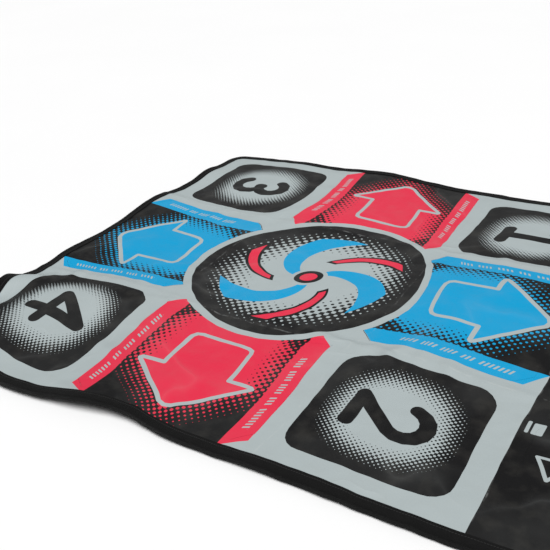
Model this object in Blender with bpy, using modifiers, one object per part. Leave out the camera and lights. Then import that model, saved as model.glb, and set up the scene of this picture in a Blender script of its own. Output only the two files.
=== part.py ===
"""Soft dance mat controller, as a foam mat with ten foot switches and a control box.

The mat lies on the floor with its printed side up. The origin is the centre of the
printed disc, on the underside. +X is the player's right, +Y points to the head end
where the control box is, and +Z is up. The mat has three columns of pads, and the two
outer columns fold over the middle one along the crease lines.
"""
import math

import bmesh
import bpy
from mathutils import Matrix

# Plan of the mat, in metres
FIELD_WIDTH = 0.800
BINDING_WIDTH = 0.015
HEAD_BAND = 0.100
MAT_CORNER_RADIUS = 0.032

# Layers of the mat, from the floor up. A pressed spacer is thinner by the pad's travel
GAP = 0.0003
BASE_SHEET = 0.0006
BASE_FOAM = 0.0025
CONTACT_FILM = 0.0003
PAD_TRAVEL = 0.0012
SPACER_PRESSED = 0.0008
COVER_SHEET = 0.0006
BINDING_TAPE = 0.0008

# Corner pads, and the crease lines that run beside them
CORNER_PAD = 0.203
CORNER_PAD_RADIUS = 0.028
CORNER_PAD_MARGIN = 0.0285
CREASE_MARGIN = 0.0135

# Arrow pads, which start at an arc round the centre disc
ARROW_PAD_MARGIN = 0.017
ARROW_EDGE_MARGIN = 0.012
ARROW_CREASE_MARGIN = 0.013
ARROW_ARC_DEPTH = 0.0225
ARROW_CHAMFER = 0.021
ARROW_OUTER_CHAMFER = 0.020

# Select and start pads, in the head band
SMALL_PAD_LENGTH = 0.130
SMALL_PAD_RADIUS = 0.012
SMALL_PAD_MARGIN = 0.021
SMALL_PAD_CREASE_MARGIN = 0.045

# Fit of a pad in its window, and the holes in its spacer foam
PAD_CLEARANCE = 0.0005
SPACER_HOLE_RADIUS = 0.012
SPACER_HOLE_PITCH = 0.062
SMALL_PAD_HOLE_PITCH = 0.060

# Height of the two fold axes above the floor
LEFT_FOLD_HEIGHT = 0.016
RIGHT_FOLD_HEIGHT = 0.024

# Control box
BOX_WIDTH = 0.096
BOX_DEPTH = 0.046
BOX_HEIGHT = 0.0195
BOX_WALL = 0.0018
BOX_EDGE_RADIUS = 0.0025
BOX_LIP_DEPTH = 0.014
BOX_LIP_THICKNESS = 0.0020
BOSS_RADIUS = 0.0034
BOSS_INSET = 0.0062
POST_RADIUS = 0.0016

# Screws that close the control box, and rivets that hold its lip to the mat
SCREW_RADIUS = 0.0012
SCREW_HEAD_RADIUS = 0.0024
SCREW_HEAD_HEIGHT = 0.0011
SCREW_LENGTH = 0.0135
SCREW_CLEARANCE = 0.0003
RIVET_RADIUS = 0.0015
RIVET_HEAD_RADIUS = 0.0035
RIVET_HEAD_HEIGHT = 0.0010
RIVET_INSET = 0.012
RIVET_CLEARANCE = 0.0003

# Electronics
BOARD_THICKNESS = 0.0016
BOARD_END_MARGIN = 0.0090
BOARD_SIDE_MARGIN = 0.0110
CONNECTOR_WIDTH = 0.044
CONNECTOR_DEPTH = 0.0050
CONNECTOR_HEIGHT = 0.0024
TAIL_WIDTH = 0.040
TAIL_REACH = 0.017
TAIL_CLEARANCE = 0.0006
CHIP_LENGTH = 0.018
CHIP_WIDTH = 0.0076
CHIP_HEIGHT = 0.0024

# Cable gland in the rear wall of the control box
GLAND_BORE_RADIUS = 0.0033
GLAND_NECK_RADIUS = 0.0052
GLAND_FLANGE_RADIUS = 0.0068
GLAND_FLANGE = 0.0015

ARC_STEPS = 5
LONG_ARC_STEPS = 10
HOLE_SIDES = 8
ROUND_SIDES = 12

# Sizes that follow from those above
FIELD_HALF = FIELD_WIDTH / 2
HALF_WIDTH = FIELD_HALF + BINDING_WIDTH
FOOT_Y = -FIELD_HALF - BINDING_WIDTH
HEAD_Y = FIELD_HALF + HEAD_BAND + BINDING_WIDTH
CORNER_PAD_CENTRE = FIELD_HALF - CORNER_PAD_MARGIN - CORNER_PAD / 2
FOLD_X = CORNER_PAD_CENTRE - CORNER_PAD / 2 - CREASE_MARGIN
ARROW_HALF_WIDTH = FOLD_X - ARROW_PAD_MARGIN
ARROW_OUTER = FIELD_HALF - ARROW_EDGE_MARGIN
ARROW_CLIP = FOLD_X + ARROW_CREASE_MARGIN
ARROW_ARC_RADIUS = ARROW_CLIP + ARROW_ARC_DEPTH
SMALL_PAD_WIDTH = HEAD_BAND - 2 * SMALL_PAD_MARGIN
SMALL_PAD_X = FOLD_X + SMALL_PAD_CREASE_MARGIN + SMALL_PAD_LENGTH / 2
SMALL_PAD_Y = FIELD_HALF + HEAD_BAND / 2

SPACER_FOAM = PAD_TRAVEL + SPACER_PRESSED
BASE_FOAM_Z = BASE_SHEET + GAP
LOWER_CONTACT_Z = BASE_FOAM_Z + BASE_FOAM + GAP
SPACER_Z = LOWER_CONTACT_Z + CONTACT_FILM + GAP
UPPER_CONTACT_Z = SPACER_Z + SPACER_FOAM + GAP
COVER_Z = UPPER_CONTACT_Z + CONTACT_FILM + GAP
COVER_TOP = COVER_Z + COVER_SHEET
BINDING_TOP = COVER_TOP + GAP + BINDING_TAPE
FRAME_FOAM = COVER_Z - GAP - SPACER_Z
LAYER_EDGE = BINDING_TAPE + GAP

BOX_Y = HEAD_Y + GAP
BOX_REAR_Y = BOX_Y + BOX_DEPTH
BOX_PARTING = BINDING_TOP
LIP_Z = BINDING_TOP + GAP
LIP_TOP = LIP_Z + BOX_LIP_THICKNESS
TAIL_Z = LOWER_CONTACT_Z
CONNECTOR_Z = TAIL_Z + CONTACT_FILM + GAP
BOARD_Z = CONNECTOR_Z + CONNECTOR_HEIGHT + GAP
BOARD_TOP = BOARD_Z + BOARD_THICKNESS
RIVET_X = BOX_WIDTH / 2 - RIVET_INSET
RIVET_Y = BOX_Y - BOX_LIP_DEPTH / 2
SCREW_X = BOX_WIDTH / 2 - BOSS_INSET
SCREW_Y = BOX_REAR_Y - BOSS_INSET
SCREW_SEAT_Z = SCREW_HEAD_HEIGHT + GAP + BASE_SHEET
BOARD_HALF_WIDTH = BOX_WIDTH / 2 - BOARD_SIDE_MARGIN
BOARD_NEAR_Y = BOX_Y + BOX_WALL + GAP
BOARD_FAR_Y = BOX_REAR_Y - BOX_WALL - BOARD_END_MARGIN
BOARD_POST_X = BOARD_HALF_WIDTH - 2 * POST_RADIUS
BOARD_POST_NEAR = BOARD_NEAR_Y + 2 * POST_RADIUS
BOARD_POST_FAR = BOARD_FAR_Y - 2 * POST_RADIUS
GLAND_LENGTH = BOX_WALL + 2 * GAP + 2 * GLAND_FLANGE

for old in list(bpy.data.objects):
    bpy.data.objects.remove(old, do_unlink=True)

MAT_PARTS = bpy.data.collections.new("dance_mat")
CUTTERS = bpy.data.collections.new("cutters")
bpy.context.scene.collection.children.link(MAT_PARTS)
bpy.context.scene.collection.children.link(CUTTERS)


def finish(name, colour, roughness, metallic=0.0):
    """Return a plain Principled material for one sub-part."""
    material = bpy.data.materials.new(name)
    material.use_nodes = True
    shader = material.node_tree.nodes["Principled BSDF"]
    shader.inputs["Base Color"].default_value = (*colour, 1.0)
    shader.inputs["Roughness"].default_value = roughness
    shader.inputs["Metallic"].default_value = metallic
    return material


COLOURS = {
    "pale": (0.52, 0.55, 0.55),
    "black": (0.018, 0.018, 0.019),
    "pink": (0.86, 0.045, 0.09),
    "blue": (0.01, 0.40, 0.75),
    "foam": (0.10, 0.10, 0.11),
    "film": (0.62, 0.63, 0.60),
    "plastic": (0.03, 0.03, 0.032),
    "board": (0.02, 0.16, 0.06),
    "steel": (0.60, 0.60, 0.58),
}


def fold_anchor(name, x, height):
    """Place an empty on a fold axis, for everything that folds about it."""
    anchor = bpy.data.objects.new(name, None)
    anchor.location = (x, 0, height)
    MAT_PARTS.objects.link(anchor)
    return anchor


ANCHORS = {
    "left": fold_anchor("left_fold_axis", -FOLD_X, LEFT_FOLD_HEIGHT),
    "right": fold_anchor("right_fold_axis", FOLD_X, RIGHT_FOLD_HEIGHT),
}


def arc(centre, radius, start, end, steps):
    """Return the points of an arc, with angles in degrees."""
    points = []
    for i in range(steps + 1):
        angle = math.radians(start + (end - start) * i / steps)
        x = centre[0] + radius * math.cos(angle)
        y = centre[1] + radius * math.sin(angle)
        points.append((x, y))
    return points


def circle(centre, radius, sides):
    """Return a closed round outline."""
    return arc(centre, radius, 0, 360, sides)[:-1]


def rounded_rectangle(x0, x1, y0, y1, radius):
    """Return a closed outline with four round corners."""
    points = arc((x1 - radius, y1 - radius), radius, 0, 90, ARC_STEPS)
    points += arc((x0 + radius, y1 - radius), radius, 90, 180, ARC_STEPS)
    points += arc((x0 + radius, y0 + radius), radius, 180, 270, ARC_STEPS)
    points += arc((x1 - radius, y0 + radius), radius, 270, 360, ARC_STEPS)
    return points


def column_outline(column, inset, overrun=-GAP / 2):
    """Return one column's outline, drawn in from the mat's edge.

    The overrun carries it past its crease lines, and a negative one stops it short.
    """
    foot = FOOT_Y + inset
    head = HEAD_Y - inset
    if column == "middle":
        x = FOLD_X + overrun
        return [(x, foot), (x, head), (-x, head), (-x, foot)]
    outer = HALF_WIDTH - inset
    inner = FOLD_X - overrun
    radius = MAT_CORNER_RADIUS - inset
    points = [(inner, foot)]
    points += arc((outer - radius, foot + radius), radius, 270, 360, ARC_STEPS)
    points += arc((outer - radius, head - radius), radius, 0, 90, ARC_STEPS)
    points.append((inner, head))
    if column == "left":
        points = [(-x, y) for x, y in reversed(points)]
    return points


def arrow_outline(grow, across_crease):
    """Return an arrow pad's outline, with the arrow pointing along +X.

    A pad beside a crease is cut square there, and the others keep their chamfers.
    """
    arc_radius = ARROW_ARC_RADIUS - grow
    half = ARROW_HALF_WIDTH + grow
    outer = ARROW_OUTER + grow
    if across_crease:
        clip = ARROW_CLIP - grow
        reach = math.degrees(math.acos(clip / arc_radius))
        shoulder = (clip, half)
    else:
        reach = math.degrees(math.asin((half - ARROW_CHAMFER) / arc_radius))
        corner = arc_radius * math.cos(math.radians(reach))
        shoulder = (corner + ARROW_CHAMFER, half)
    points = arc((0, 0), arc_radius, reach, -reach, LONG_ARC_STEPS)
    points += [(shoulder[0], -half), (outer - ARROW_OUTER_CHAMFER, -half)]
    points += [(outer, ARROW_OUTER_CHAMFER - half), (outer, half - ARROW_OUTER_CHAMFER)]
    points += [(outer - ARROW_OUTER_CHAMFER, half), shoulder]
    return points


def turned(points, quarter_turns):
    """Turn an outline about the mat's centre by quarter turns."""
    for _ in range(quarter_turns):
        points = [(-y, x) for x, y in points]
    return points


def corner_pad_outline(centre, grow):
    """Return the outline of a square corner pad with round corners."""
    half = CORNER_PAD / 2 + grow
    x, y = centre
    return rounded_rectangle(x - half, x + half, y - half, y + half, CORNER_PAD_RADIUS + grow)


def small_pad_outline(centre, grow):
    """Return the outline of the select or the start pad."""
    half_length = SMALL_PAD_LENGTH / 2 + grow
    half_width = SMALL_PAD_WIDTH / 2 + grow
    x, y = centre
    return rounded_rectangle(
        x - half_length, x + half_length, y - half_width, y + half_width, SMALL_PAD_RADIUS + grow
    )


ARROW_CENTRE = (ARROW_ARC_RADIUS + ARROW_OUTER) / 2
SQUARE_HOLES = [
    (i * SPACER_HOLE_PITCH, j * SPACER_HOLE_PITCH) for i in (-1, 0, 1) for j in (-1, 0, 1)
]
SMALL_HOLES = [(-SMALL_PAD_HOLE_PITCH / 2, 0), (SMALL_PAD_HOLE_PITCH / 2, 0)]

# Each pad: name, column, kind, centre and quarter turns from +X
PADS = [
    ("up_arrow", "middle", "arrow", (0, ARROW_CENTRE), 1),
    ("down_arrow", "middle", "arrow", (0, -ARROW_CENTRE), 3),
    ("left_arrow", "left", "arrow", (-ARROW_CENTRE, 0), 2),
    ("right_arrow", "right", "arrow", (ARROW_CENTRE, 0), 0),
    ("one_pad", "left", "corner", (-CORNER_PAD_CENTRE, CORNER_PAD_CENTRE), 0),
    ("two_pad", "right", "corner", (CORNER_PAD_CENTRE, CORNER_PAD_CENTRE), 0),
    ("three_pad", "left", "corner", (-CORNER_PAD_CENTRE, -CORNER_PAD_CENTRE), 0),
    ("four_pad", "right", "corner", (CORNER_PAD_CENTRE, -CORNER_PAD_CENTRE), 0),
    ("select_pad", "left", "small", (-SMALL_PAD_X, SMALL_PAD_Y), 0),
    ("start_pad", "right", "small", (SMALL_PAD_X, SMALL_PAD_Y), 0),
]


def pad_outline(pad, grow=0.0):
    """Return the outline of any pad, grown by a clearance for its window."""
    name, column, kind, centre, turns = pad
    if kind == "arrow":
        return turned(arrow_outline(grow, column != "middle"), turns)
    if kind == "corner":
        return corner_pad_outline(centre, grow)
    return small_pad_outline(centre, grow)


def hold(thing, column):
    """Parent a piece of an outer column to its fold axis, and leave it where it is."""
    if column == "middle":
        return
    anchor = ANCHORS[column]
    thing.parent = anchor
    thing.location = thing.location - anchor.location


def plate(name, outlines, bottom, thickness, material, origin=(0, 0)):
    """Make a flat layer from closed outlines, as a filled and extruded 2D curve.

    The first outline is the edge, and the others are holes in it.
    """
    curve = bpy.data.curves.new(name, "CURVE")
    curve.dimensions = "2D"
    curve.fill_mode = "BOTH"
    curve.extrude = thickness / 2
    for outline in outlines:
        spline = curve.splines.new("POLY")
        spline.points.add(len(outline) - 1)
        for point, (x, y) in zip(spline.points, outline):
            point.co = (x - origin[0], y - origin[1], 0, 1)
        spline.use_cyclic_u = True
    layer = bpy.data.objects.new(name, curve)
    layer.location = (origin[0], origin[1], bottom + thickness / 2)
    curve.materials.append(material)
    MAT_PARTS.objects.link(layer)
    return layer


def as_mesh(layer):
    """Turn a curve object into a mesh object with welded caps."""
    bpy.context.view_layer.update()
    depsgraph = bpy.context.evaluated_depsgraph_get()
    mesh = bpy.data.meshes.new_from_object(layer.evaluated_get(depsgraph))
    shape = bmesh.new()
    shape.from_mesh(mesh)
    bmesh.ops.remove_doubles(shape, verts=shape.verts, dist=0.00001)
    shape.to_mesh(mesh)
    shape.free()
    name = layer.name
    matrix = layer.matrix_world.copy()
    bpy.data.objects.remove(layer, do_unlink=True)
    solid = bpy.data.objects.new(name, mesh)
    solid.matrix_world = matrix
    MAT_PARTS.objects.link(solid)
    return solid


def as_cutter(thing):
    """Move an object to the cutters, as a wire that isn't rendered."""
    MAT_PARTS.objects.unlink(thing)
    CUTTERS.objects.link(thing)
    thing.display_type = "WIRE"
    thing.hide_render = True
    return thing


def combine(thing, other, operation):
    """Add a Boolean with the EXACT solver, with the other object as its cutter."""
    modifier = thing.modifiers.new(other.name, "BOOLEAN")
    modifier.operation = operation
    modifier.object = other
    modifier.solver = "EXACT"


def mesh_object(name, shape, material=None):
    """Link a finished bmesh as an object."""
    mesh = bpy.data.meshes.new(name)
    shape.to_mesh(mesh)
    shape.free()
    thing = bpy.data.objects.new(name, mesh)
    if material:
        mesh.materials.append(material)
    MAT_PARTS.objects.link(thing)
    return thing


def add_box(shape, low, high):
    """Add a box between two corners to a bmesh."""
    size = [b - a for a, b in zip(low, high)]
    centre = [(a + b) / 2 for a, b in zip(low, high)]
    place = Matrix.Translation(centre) @ Matrix.Diagonal((*size, 1.0))
    bmesh.ops.create_cube(shape, size=1.0, matrix=place)


def box(name, low, high, material=None):
    """Make a box object between two corners."""
    shape = bmesh.new()
    add_box(shape, low, high)
    return mesh_object(name, shape, material)


def add_cylinder(shape, centre, radius, z0, z1, sides=ROUND_SIDES):
    """Add an upright cylinder to a bmesh."""
    place = Matrix.Translation((centre[0], centre[1], (z0 + z1) / 2))
    bmesh.ops.create_cone(
        shape, cap_ends=True, segments=sides, radius1=radius, radius2=radius, depth=z1 - z0, matrix=place
    )


def cylinders(name, centres, radius, z0, z1, material=None, sides=ROUND_SIDES):
    """Make one object of equal upright cylinders."""
    shape = bmesh.new()
    for centre in centres:
        add_cylinder(shape, centre, radius, z0, z1, sides)
    return mesh_object(name, shape, material)


def turned_piece(name, profile, material):
    """Turn a profile about the Z axis. It runs down its outer side, at +X."""
    shape = bmesh.new()
    points = [shape.verts.new((radius, 0, z)) for radius, z in profile]
    for first, second in zip(points, points[1:] + points[:1]):
        on_axis = first.co.x == 0 and second.co.x == 0
        if not on_axis:
            shape.edges.new((first, second))
    piece = mesh_object(name, shape, material)
    screw = piece.modifiers.new("turn", "SCREW")
    screw.axis = "Z"
    screw.steps = ROUND_SIDES
    screw.render_steps = ROUND_SIDES
    screw.use_merge_vertices = True
    screw.merge_threshold = 0.00001
    screw.use_smooth_shade = False
    return piece


RIVET_POINTS = [(-RIVET_X, RIVET_Y), (RIVET_X, RIVET_Y)]
SCREW_POINTS = [(-SCREW_X, SCREW_Y), (SCREW_X, SCREW_Y)]
RIVET_HOLE = RIVET_RADIUS + RIVET_CLEARANCE


def rivet_holes(column):
    """Return the outlines of the rivet holes in the middle column's layers."""
    if column != "middle":
        return []
    return [circle(point, RIVET_HOLE, HOLE_SIDES) for point in RIVET_POINTS]


def build_layers():
    """Make the layers of each column, from the floor up."""
    sheet = finish("base_sheet", COLOURS["black"], 0.8)
    foam = finish("foam", COLOURS["foam"], 0.9)
    film = finish("contact_film", COLOURS["film"], 0.45)
    cover = finish("cover", COLOURS["pale"], 0.35)
    for column in ("left", "middle", "right"):
        pads = [pad for pad in PADS if pad[1] == column]
        windows = [pad_outline(pad, PAD_CLEARANCE) for pad in pads]
        edge = column_outline(column, LAYER_EDGE)
        inner_edge = column_outline(column, BINDING_WIDTH + GAP)
        holes = rivet_holes(column)
        layers = [
            plate(f"base_sheet_{column}", [inner_edge], 0, BASE_SHEET, sheet),
            plate(f"base_foam_{column}", [edge] + holes, BASE_FOAM_Z, BASE_FOAM, foam),
            plate(f"lower_contact_{column}", [edge] + holes, LOWER_CONTACT_Z, CONTACT_FILM, film),
            plate(f"frame_foam_{column}", [edge] + windows + holes, SPACER_Z, FRAME_FOAM, foam),
            plate(f"cover_{column}", [edge] + windows + holes, COVER_Z, COVER_SHEET, cover),
        ]
        for layer in layers:
            hold(layer, column)


def build_pads():
    """Make each foot switch: printed skin, upper contact and holed spacer foam."""
    skins = {
        "up_arrow": finish("blue_print", COLOURS["blue"], 0.35),
        "left_arrow": finish("pink_print", COLOURS["pink"], 0.35),
        "one_pad": finish("black_print", COLOURS["black"], 0.35),
    }
    skins["down_arrow"] = skins["up_arrow"]
    skins["right_arrow"] = skins["left_arrow"]
    film = finish("upper_film", COLOURS["film"], 0.45)
    foam = finish("spacer_foam", COLOURS["foam"], 0.9)
    for pad in PADS:
        name, column, kind, centre, turns = pad
        outline = pad_outline(pad)
        layout = SMALL_HOLES if kind == "small" else SQUARE_HOLES
        holes = [
            circle((centre[0] + x, centre[1] + y), SPACER_HOLE_RADIUS, HOLE_SIDES) for x, y in layout
        ]
        skin = skins.get(name, skins["one_pad"])
        pieces = [
            plate(f"{name}_skin", [outline], COVER_Z, COVER_SHEET, skin, centre),
            plate(f"{name}_contact", [outline], UPPER_CONTACT_Z, CONTACT_FILM, film, centre),
            plate(f"{name}_spacer", [outline] + holes, SPACER_Z, SPACER_FOAM, foam, centre),
        ]
        for piece in pieces:
            hold(piece, column)


def build_side_binding(column, tape):
    """Make the folded tape round the outer edge of a side column."""
    overrun = GAP
    base = plate(f"binding_{column}", [column_outline(column, 0)], 0, BINDING_TOP, tape)
    base = as_mesh(base)
    slot_outline = column_outline(column, BINDING_TAPE, overrun)
    slot_height = BINDING_TOP - BINDING_TAPE - BASE_SHEET
    slot = as_mesh(plate(f"binding_slot_{column}", [slot_outline], BASE_SHEET, slot_height, tape))
    window_outline = column_outline(column, BINDING_WIDTH, overrun)
    window = plate(f"binding_window_{column}", [window_outline], -GAP, BINDING_TOP + 2 * GAP, tape)
    window = as_mesh(window)
    for cutter in (slot, window):
        combine(base, as_cutter(cutter), "DIFFERENCE")
    hold(base, column)


def channel(name, x0, x1, edge_y, outward, tape):
    """Make a straight length of folded tape along a foot or head edge."""
    inner_y = edge_y - outward * BINDING_WIDTH
    wall_y = edge_y - outward * BINDING_TAPE
    slot_top = BINDING_TOP - BINDING_TAPE
    profile = [
        (inner_y, 0),
        (edge_y, 0),
        (edge_y, BINDING_TOP),
        (inner_y, BINDING_TOP),
        (inner_y, slot_top),
        (wall_y, slot_top),
        (wall_y, BASE_SHEET),
        (inner_y, BASE_SHEET),
    ]
    length = x1 - x0
    strip = plate(name, [profile], 0, length, tape)
    turn = Matrix(((0, 0, 1, 0), (1, 0, 0, 0), (0, 1, 0, 0), (0, 0, 0, 1)))
    strip.matrix_world = Matrix.Translation(((x0 + x1) / 2, 0, 0)) @ turn
    return strip


def build_binding():
    """Make the black tape that is sewn round the mat's edge."""
    tape = finish("binding_tape", COLOURS["black"], 0.7)
    build_side_binding("left", tape)
    build_side_binding("right", tape)
    reach = FOLD_X - GAP / 2
    channel("binding_foot", -reach, reach, FOOT_Y, -1, tape)
    head = as_mesh(channel("binding_head", -reach, reach, HEAD_Y, 1, tape))
    rivets = cylinders(
        "binding_rivet_holes", RIVET_POINTS, RIVET_HOLE, -GAP, BINDING_TOP + GAP, sides=HOLE_SIDES
    )
    slot = box(
        "binding_tail_slot",
        (-TAIL_WIDTH / 2 - TAIL_CLEARANCE, HEAD_Y - BINDING_TAPE - GAP / 2, TAIL_Z - TAIL_CLEARANCE),
        (TAIL_WIDTH / 2 + TAIL_CLEARANCE, HEAD_Y + GAP, TAIL_Z + CONTACT_FILM + TAIL_CLEARANCE),
    )
    head_hole = RIVET_HEAD_RADIUS + RIVET_CLEARANCE
    flange_holes = cylinders("binding_flange_holes", RIVET_POINTS, head_hole, -GAP, BASE_FOAM_Z)
    for cutter in (rivets, slot, flange_holes):
        combine(head, as_cutter(cutter), "DIFFERENCE")


def build_box_shells():
    """Make the two shells of the control box, which grip the mat's head edge."""
    plastic = finish("box_plastic", COLOURS["plastic"], 0.45)
    half = BOX_WIDTH / 2
    screw_hole = SCREW_RADIUS + SCREW_CLEARANCE
    gland_y = BOX_REAR_Y - BOX_WALL / 2
    bore = cylinders("gland_hole", [(0, 0)], GLAND_NECK_RADIUS + GAP, -BOX_WALL, BOX_WALL)
    bore.matrix_world = Matrix.Translation((0, gland_y, BOX_PARTING)) @ Matrix.Rotation(math.pi / 2, 4, "X")
    as_cutter(bore)

    upper_z = BOX_PARTING + GAP
    upper = box("box_upper_shell", (-half, BOX_Y, upper_z), (half, BOX_REAR_Y, BOX_HEIGHT), plastic)
    bevel = upper.modifiers.new("soft_edges", "BEVEL")
    bevel.width = BOX_EDGE_RADIUS
    bevel.segments = 2
    bevel.limit_method = "WEIGHT"
    weights = upper.data.attributes.new("bevel_weight_edge", "FLOAT", "EDGE")
    middle_z = (upper_z + BOX_HEIGHT) / 2
    for edge in upper.data.edges:
        heights = [upper.data.vertices[v].co.z for v in edge.vertices]
        on_top = min(heights) > middle_z
        upright = max(heights) > middle_z and not on_top
        weights.data[edge.index].value = 1.0 if on_top or upright else 0.0
    inner = half - BOX_WALL
    near_y = BOX_Y + BOX_WALL
    rear_y = BOX_REAR_Y - BOX_WALL
    roof = BOX_HEIGHT - BOX_WALL
    cavity = box("upper_cavity", (-inner, near_y, upper_z - GAP), (inner, rear_y, roof))
    combine(upper, as_cutter(cavity), "DIFFERENCE")
    lip = box("box_lip", (-half, BOX_Y - BOX_LIP_DEPTH, LIP_Z), (half, near_y - GAP, LIP_TOP))
    combine(upper, as_cutter(lip), "UNION")
    posts = cylinders("upper_bosses", SCREW_POINTS, BOSS_RADIUS, upper_z, BOX_HEIGHT - BOX_WALL / 2)
    combine(upper, as_cutter(posts), "UNION")
    shafts = cylinders("upper_screw_holes", SCREW_POINTS, screw_hole, upper_z - GAP, roof, sides=HOLE_SIDES)
    combine(upper, as_cutter(shafts), "DIFFERENCE")
    rivets = cylinders(
        "lip_rivet_holes", RIVET_POINTS, RIVET_HOLE, LIP_Z - GAP, LIP_TOP + GAP, sides=HOLE_SIDES
    )
    combine(upper, as_cutter(rivets), "DIFFERENCE")
    combine(upper, bore, "DIFFERENCE")

    lower = box("box_lower_shell", (-half, BOX_Y, 0), (half, BOX_REAR_Y, BOX_PARTING), plastic)
    cavity = box("lower_cavity", (-inner, near_y, BOX_WALL), (inner, rear_y, BOX_PARTING + GAP))
    combine(lower, as_cutter(cavity), "DIFFERENCE")
    posts = cylinders("lower_bosses", SCREW_POINTS, BOSS_RADIUS, BOX_WALL / 2, BOX_PARTING)
    combine(lower, as_cutter(posts), "UNION")
    board_posts = [
        (x, y) for x in (-BOARD_POST_X, BOARD_POST_X) for y in (BOARD_POST_NEAR, BOARD_POST_FAR)
    ]
    posts = cylinders(
        "board_posts", board_posts, POST_RADIUS, BOX_WALL / 2, BOARD_Z - GAP, sides=HOLE_SIDES
    )
    combine(lower, as_cutter(posts), "UNION")
    shafts = cylinders(
        "lower_screw_holes", SCREW_POINTS, screw_hole, -GAP, BOX_PARTING + GAP, sides=HOLE_SIDES
    )
    combine(lower, as_cutter(shafts), "DIFFERENCE")
    head_hole = SCREW_HEAD_RADIUS + SCREW_CLEARANCE
    heads = cylinders("screw_head_holes", SCREW_POINTS, head_hole, -GAP, SCREW_SEAT_Z)
    combine(lower, as_cutter(heads), "DIFFERENCE")
    mouth = box(
        "tail_mouth",
        (-TAIL_WIDTH / 2 - TAIL_CLEARANCE, BOX_Y - GAP, TAIL_Z - TAIL_CLEARANCE),
        (TAIL_WIDTH / 2 + TAIL_CLEARANCE, near_y + GAP, TAIL_Z + CONTACT_FILM + TAIL_CLEARANCE),
    )
    combine(lower, as_cutter(mouth), "DIFFERENCE")
    combine(lower, bore, "DIFFERENCE")


def build_electronics():
    """Make the circuit board, what is on it, and the flat tail from the mat."""
    half = BOARD_HALF_WIDTH
    box(
        "circuit_board",
        (-half, BOARD_NEAR_Y, BOARD_Z),
        (half, BOARD_FAR_Y, BOARD_TOP),
        finish("board", COLOURS["board"], 0.4),
    )
    tail_y = HEAD_Y - LAYER_EDGE + GAP
    box(
        "flat_tail",
        (-TAIL_WIDTH / 2, tail_y, TAIL_Z),
        (TAIL_WIDTH / 2, tail_y + TAIL_REACH, TAIL_Z + CONTACT_FILM),
        finish("tail_film", COLOURS["film"], 0.4),
    )
    connector_y = tail_y + TAIL_REACH - CONNECTOR_DEPTH
    box(
        "tail_connector",
        (-CONNECTOR_WIDTH / 2, connector_y, CONNECTOR_Z),
        (CONNECTOR_WIDTH / 2, connector_y + CONNECTOR_DEPTH, CONNECTOR_Z + CONNECTOR_HEIGHT),
        finish("connector_plastic", COLOURS["pale"], 0.5),
    )
    middle_y = (BOARD_NEAR_Y + BOARD_FAR_Y) / 2
    chip_z = BOARD_TOP + GAP
    box(
        "controller_chip",
        (-CHIP_LENGTH / 2, middle_y - CHIP_WIDTH / 2, chip_z),
        (CHIP_LENGTH / 2, middle_y + CHIP_WIDTH / 2, chip_z + CHIP_HEIGHT),
        finish("chip_plastic", COLOURS["black"], 0.5),
    )


def build_gland():
    """Make the grommet in the rear wall that the cable would leave by."""
    low_flange = GLAND_FLANGE
    high_flange = GLAND_LENGTH - GLAND_FLANGE
    profile = [
        (GLAND_FLANGE_RADIUS, GLAND_LENGTH),
        (GLAND_FLANGE_RADIUS, high_flange),
        (GLAND_NECK_RADIUS, high_flange),
        (GLAND_NECK_RADIUS, low_flange),
        (GLAND_FLANGE_RADIUS, low_flange),
        (GLAND_FLANGE_RADIUS, 0),
        (GLAND_BORE_RADIUS, 0),
        (GLAND_BORE_RADIUS, GLAND_LENGTH),
    ]
    gland = turned_piece("cable_gland", profile, finish("gland_rubber", COLOURS["black"], 0.7))
    near_y = BOX_REAR_Y - BOX_WALL - GAP - GLAND_FLANGE
    place = Matrix.Translation((0, near_y, BOX_PARTING))
    gland.matrix_world = place @ Matrix.Rotation(-math.pi / 2, 4, "X")


def build_fasteners():
    """Make the screws under the control box and the rivets through its lip."""
    steel = finish("fastener_steel", COLOURS["steel"], 0.35, 1.0)
    head_z = SCREW_SEAT_Z - GAP - SCREW_HEAD_HEIGHT
    screw_profile = [
        (0, head_z + SCREW_LENGTH),
        (SCREW_RADIUS, head_z + SCREW_LENGTH),
        (SCREW_RADIUS, head_z + SCREW_HEAD_HEIGHT),
        (SCREW_HEAD_RADIUS, head_z + SCREW_HEAD_HEIGHT),
        (SCREW_HEAD_RADIUS, head_z),
        (0, head_z),
    ]
    for side, point in zip(("left", "right"), SCREW_POINTS):
        screw = turned_piece(f"box_screw_{side}", screw_profile, steel)
        screw.location = (*point, 0)

    rivet_top = LIP_TOP + GAP
    rivet_profile = [
        (0, rivet_top + RIVET_HEAD_HEIGHT),
        (RIVET_HEAD_RADIUS, rivet_top + RIVET_HEAD_HEIGHT),
        (RIVET_HEAD_RADIUS, rivet_top),
        (RIVET_RADIUS, rivet_top),
        (RIVET_RADIUS, BASE_SHEET),
        (RIVET_HEAD_RADIUS, BASE_SHEET),
        (RIVET_HEAD_RADIUS, 0),
        (0, 0),
    ]
    for side, point in zip(("left", "right"), RIVET_POINTS):
        rivet = turned_piece(f"box_rivet_{side}", rivet_profile, steel)
        rivet.location = (*point, 0)


build_layers()
build_pads()
build_binding()
build_box_shells()
build_electronics()
build_gland()
build_fasteners()
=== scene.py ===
# %% [markdown]
# A soft dance mat controller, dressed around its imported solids.
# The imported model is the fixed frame: metres, +Z up, the origin under the centre of the
# printed disc, +X to the player's right and +Y towards the head end with the control box.
# Every soft layer is a copy of its own flat solid, sliced into small cells so that it can
# lie on the floor as used vinyl does.

# %% Load the frame
import math

import bmesh
import bpy
import numpy as np
from mathutils import Matrix, Vector, noise


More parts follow.
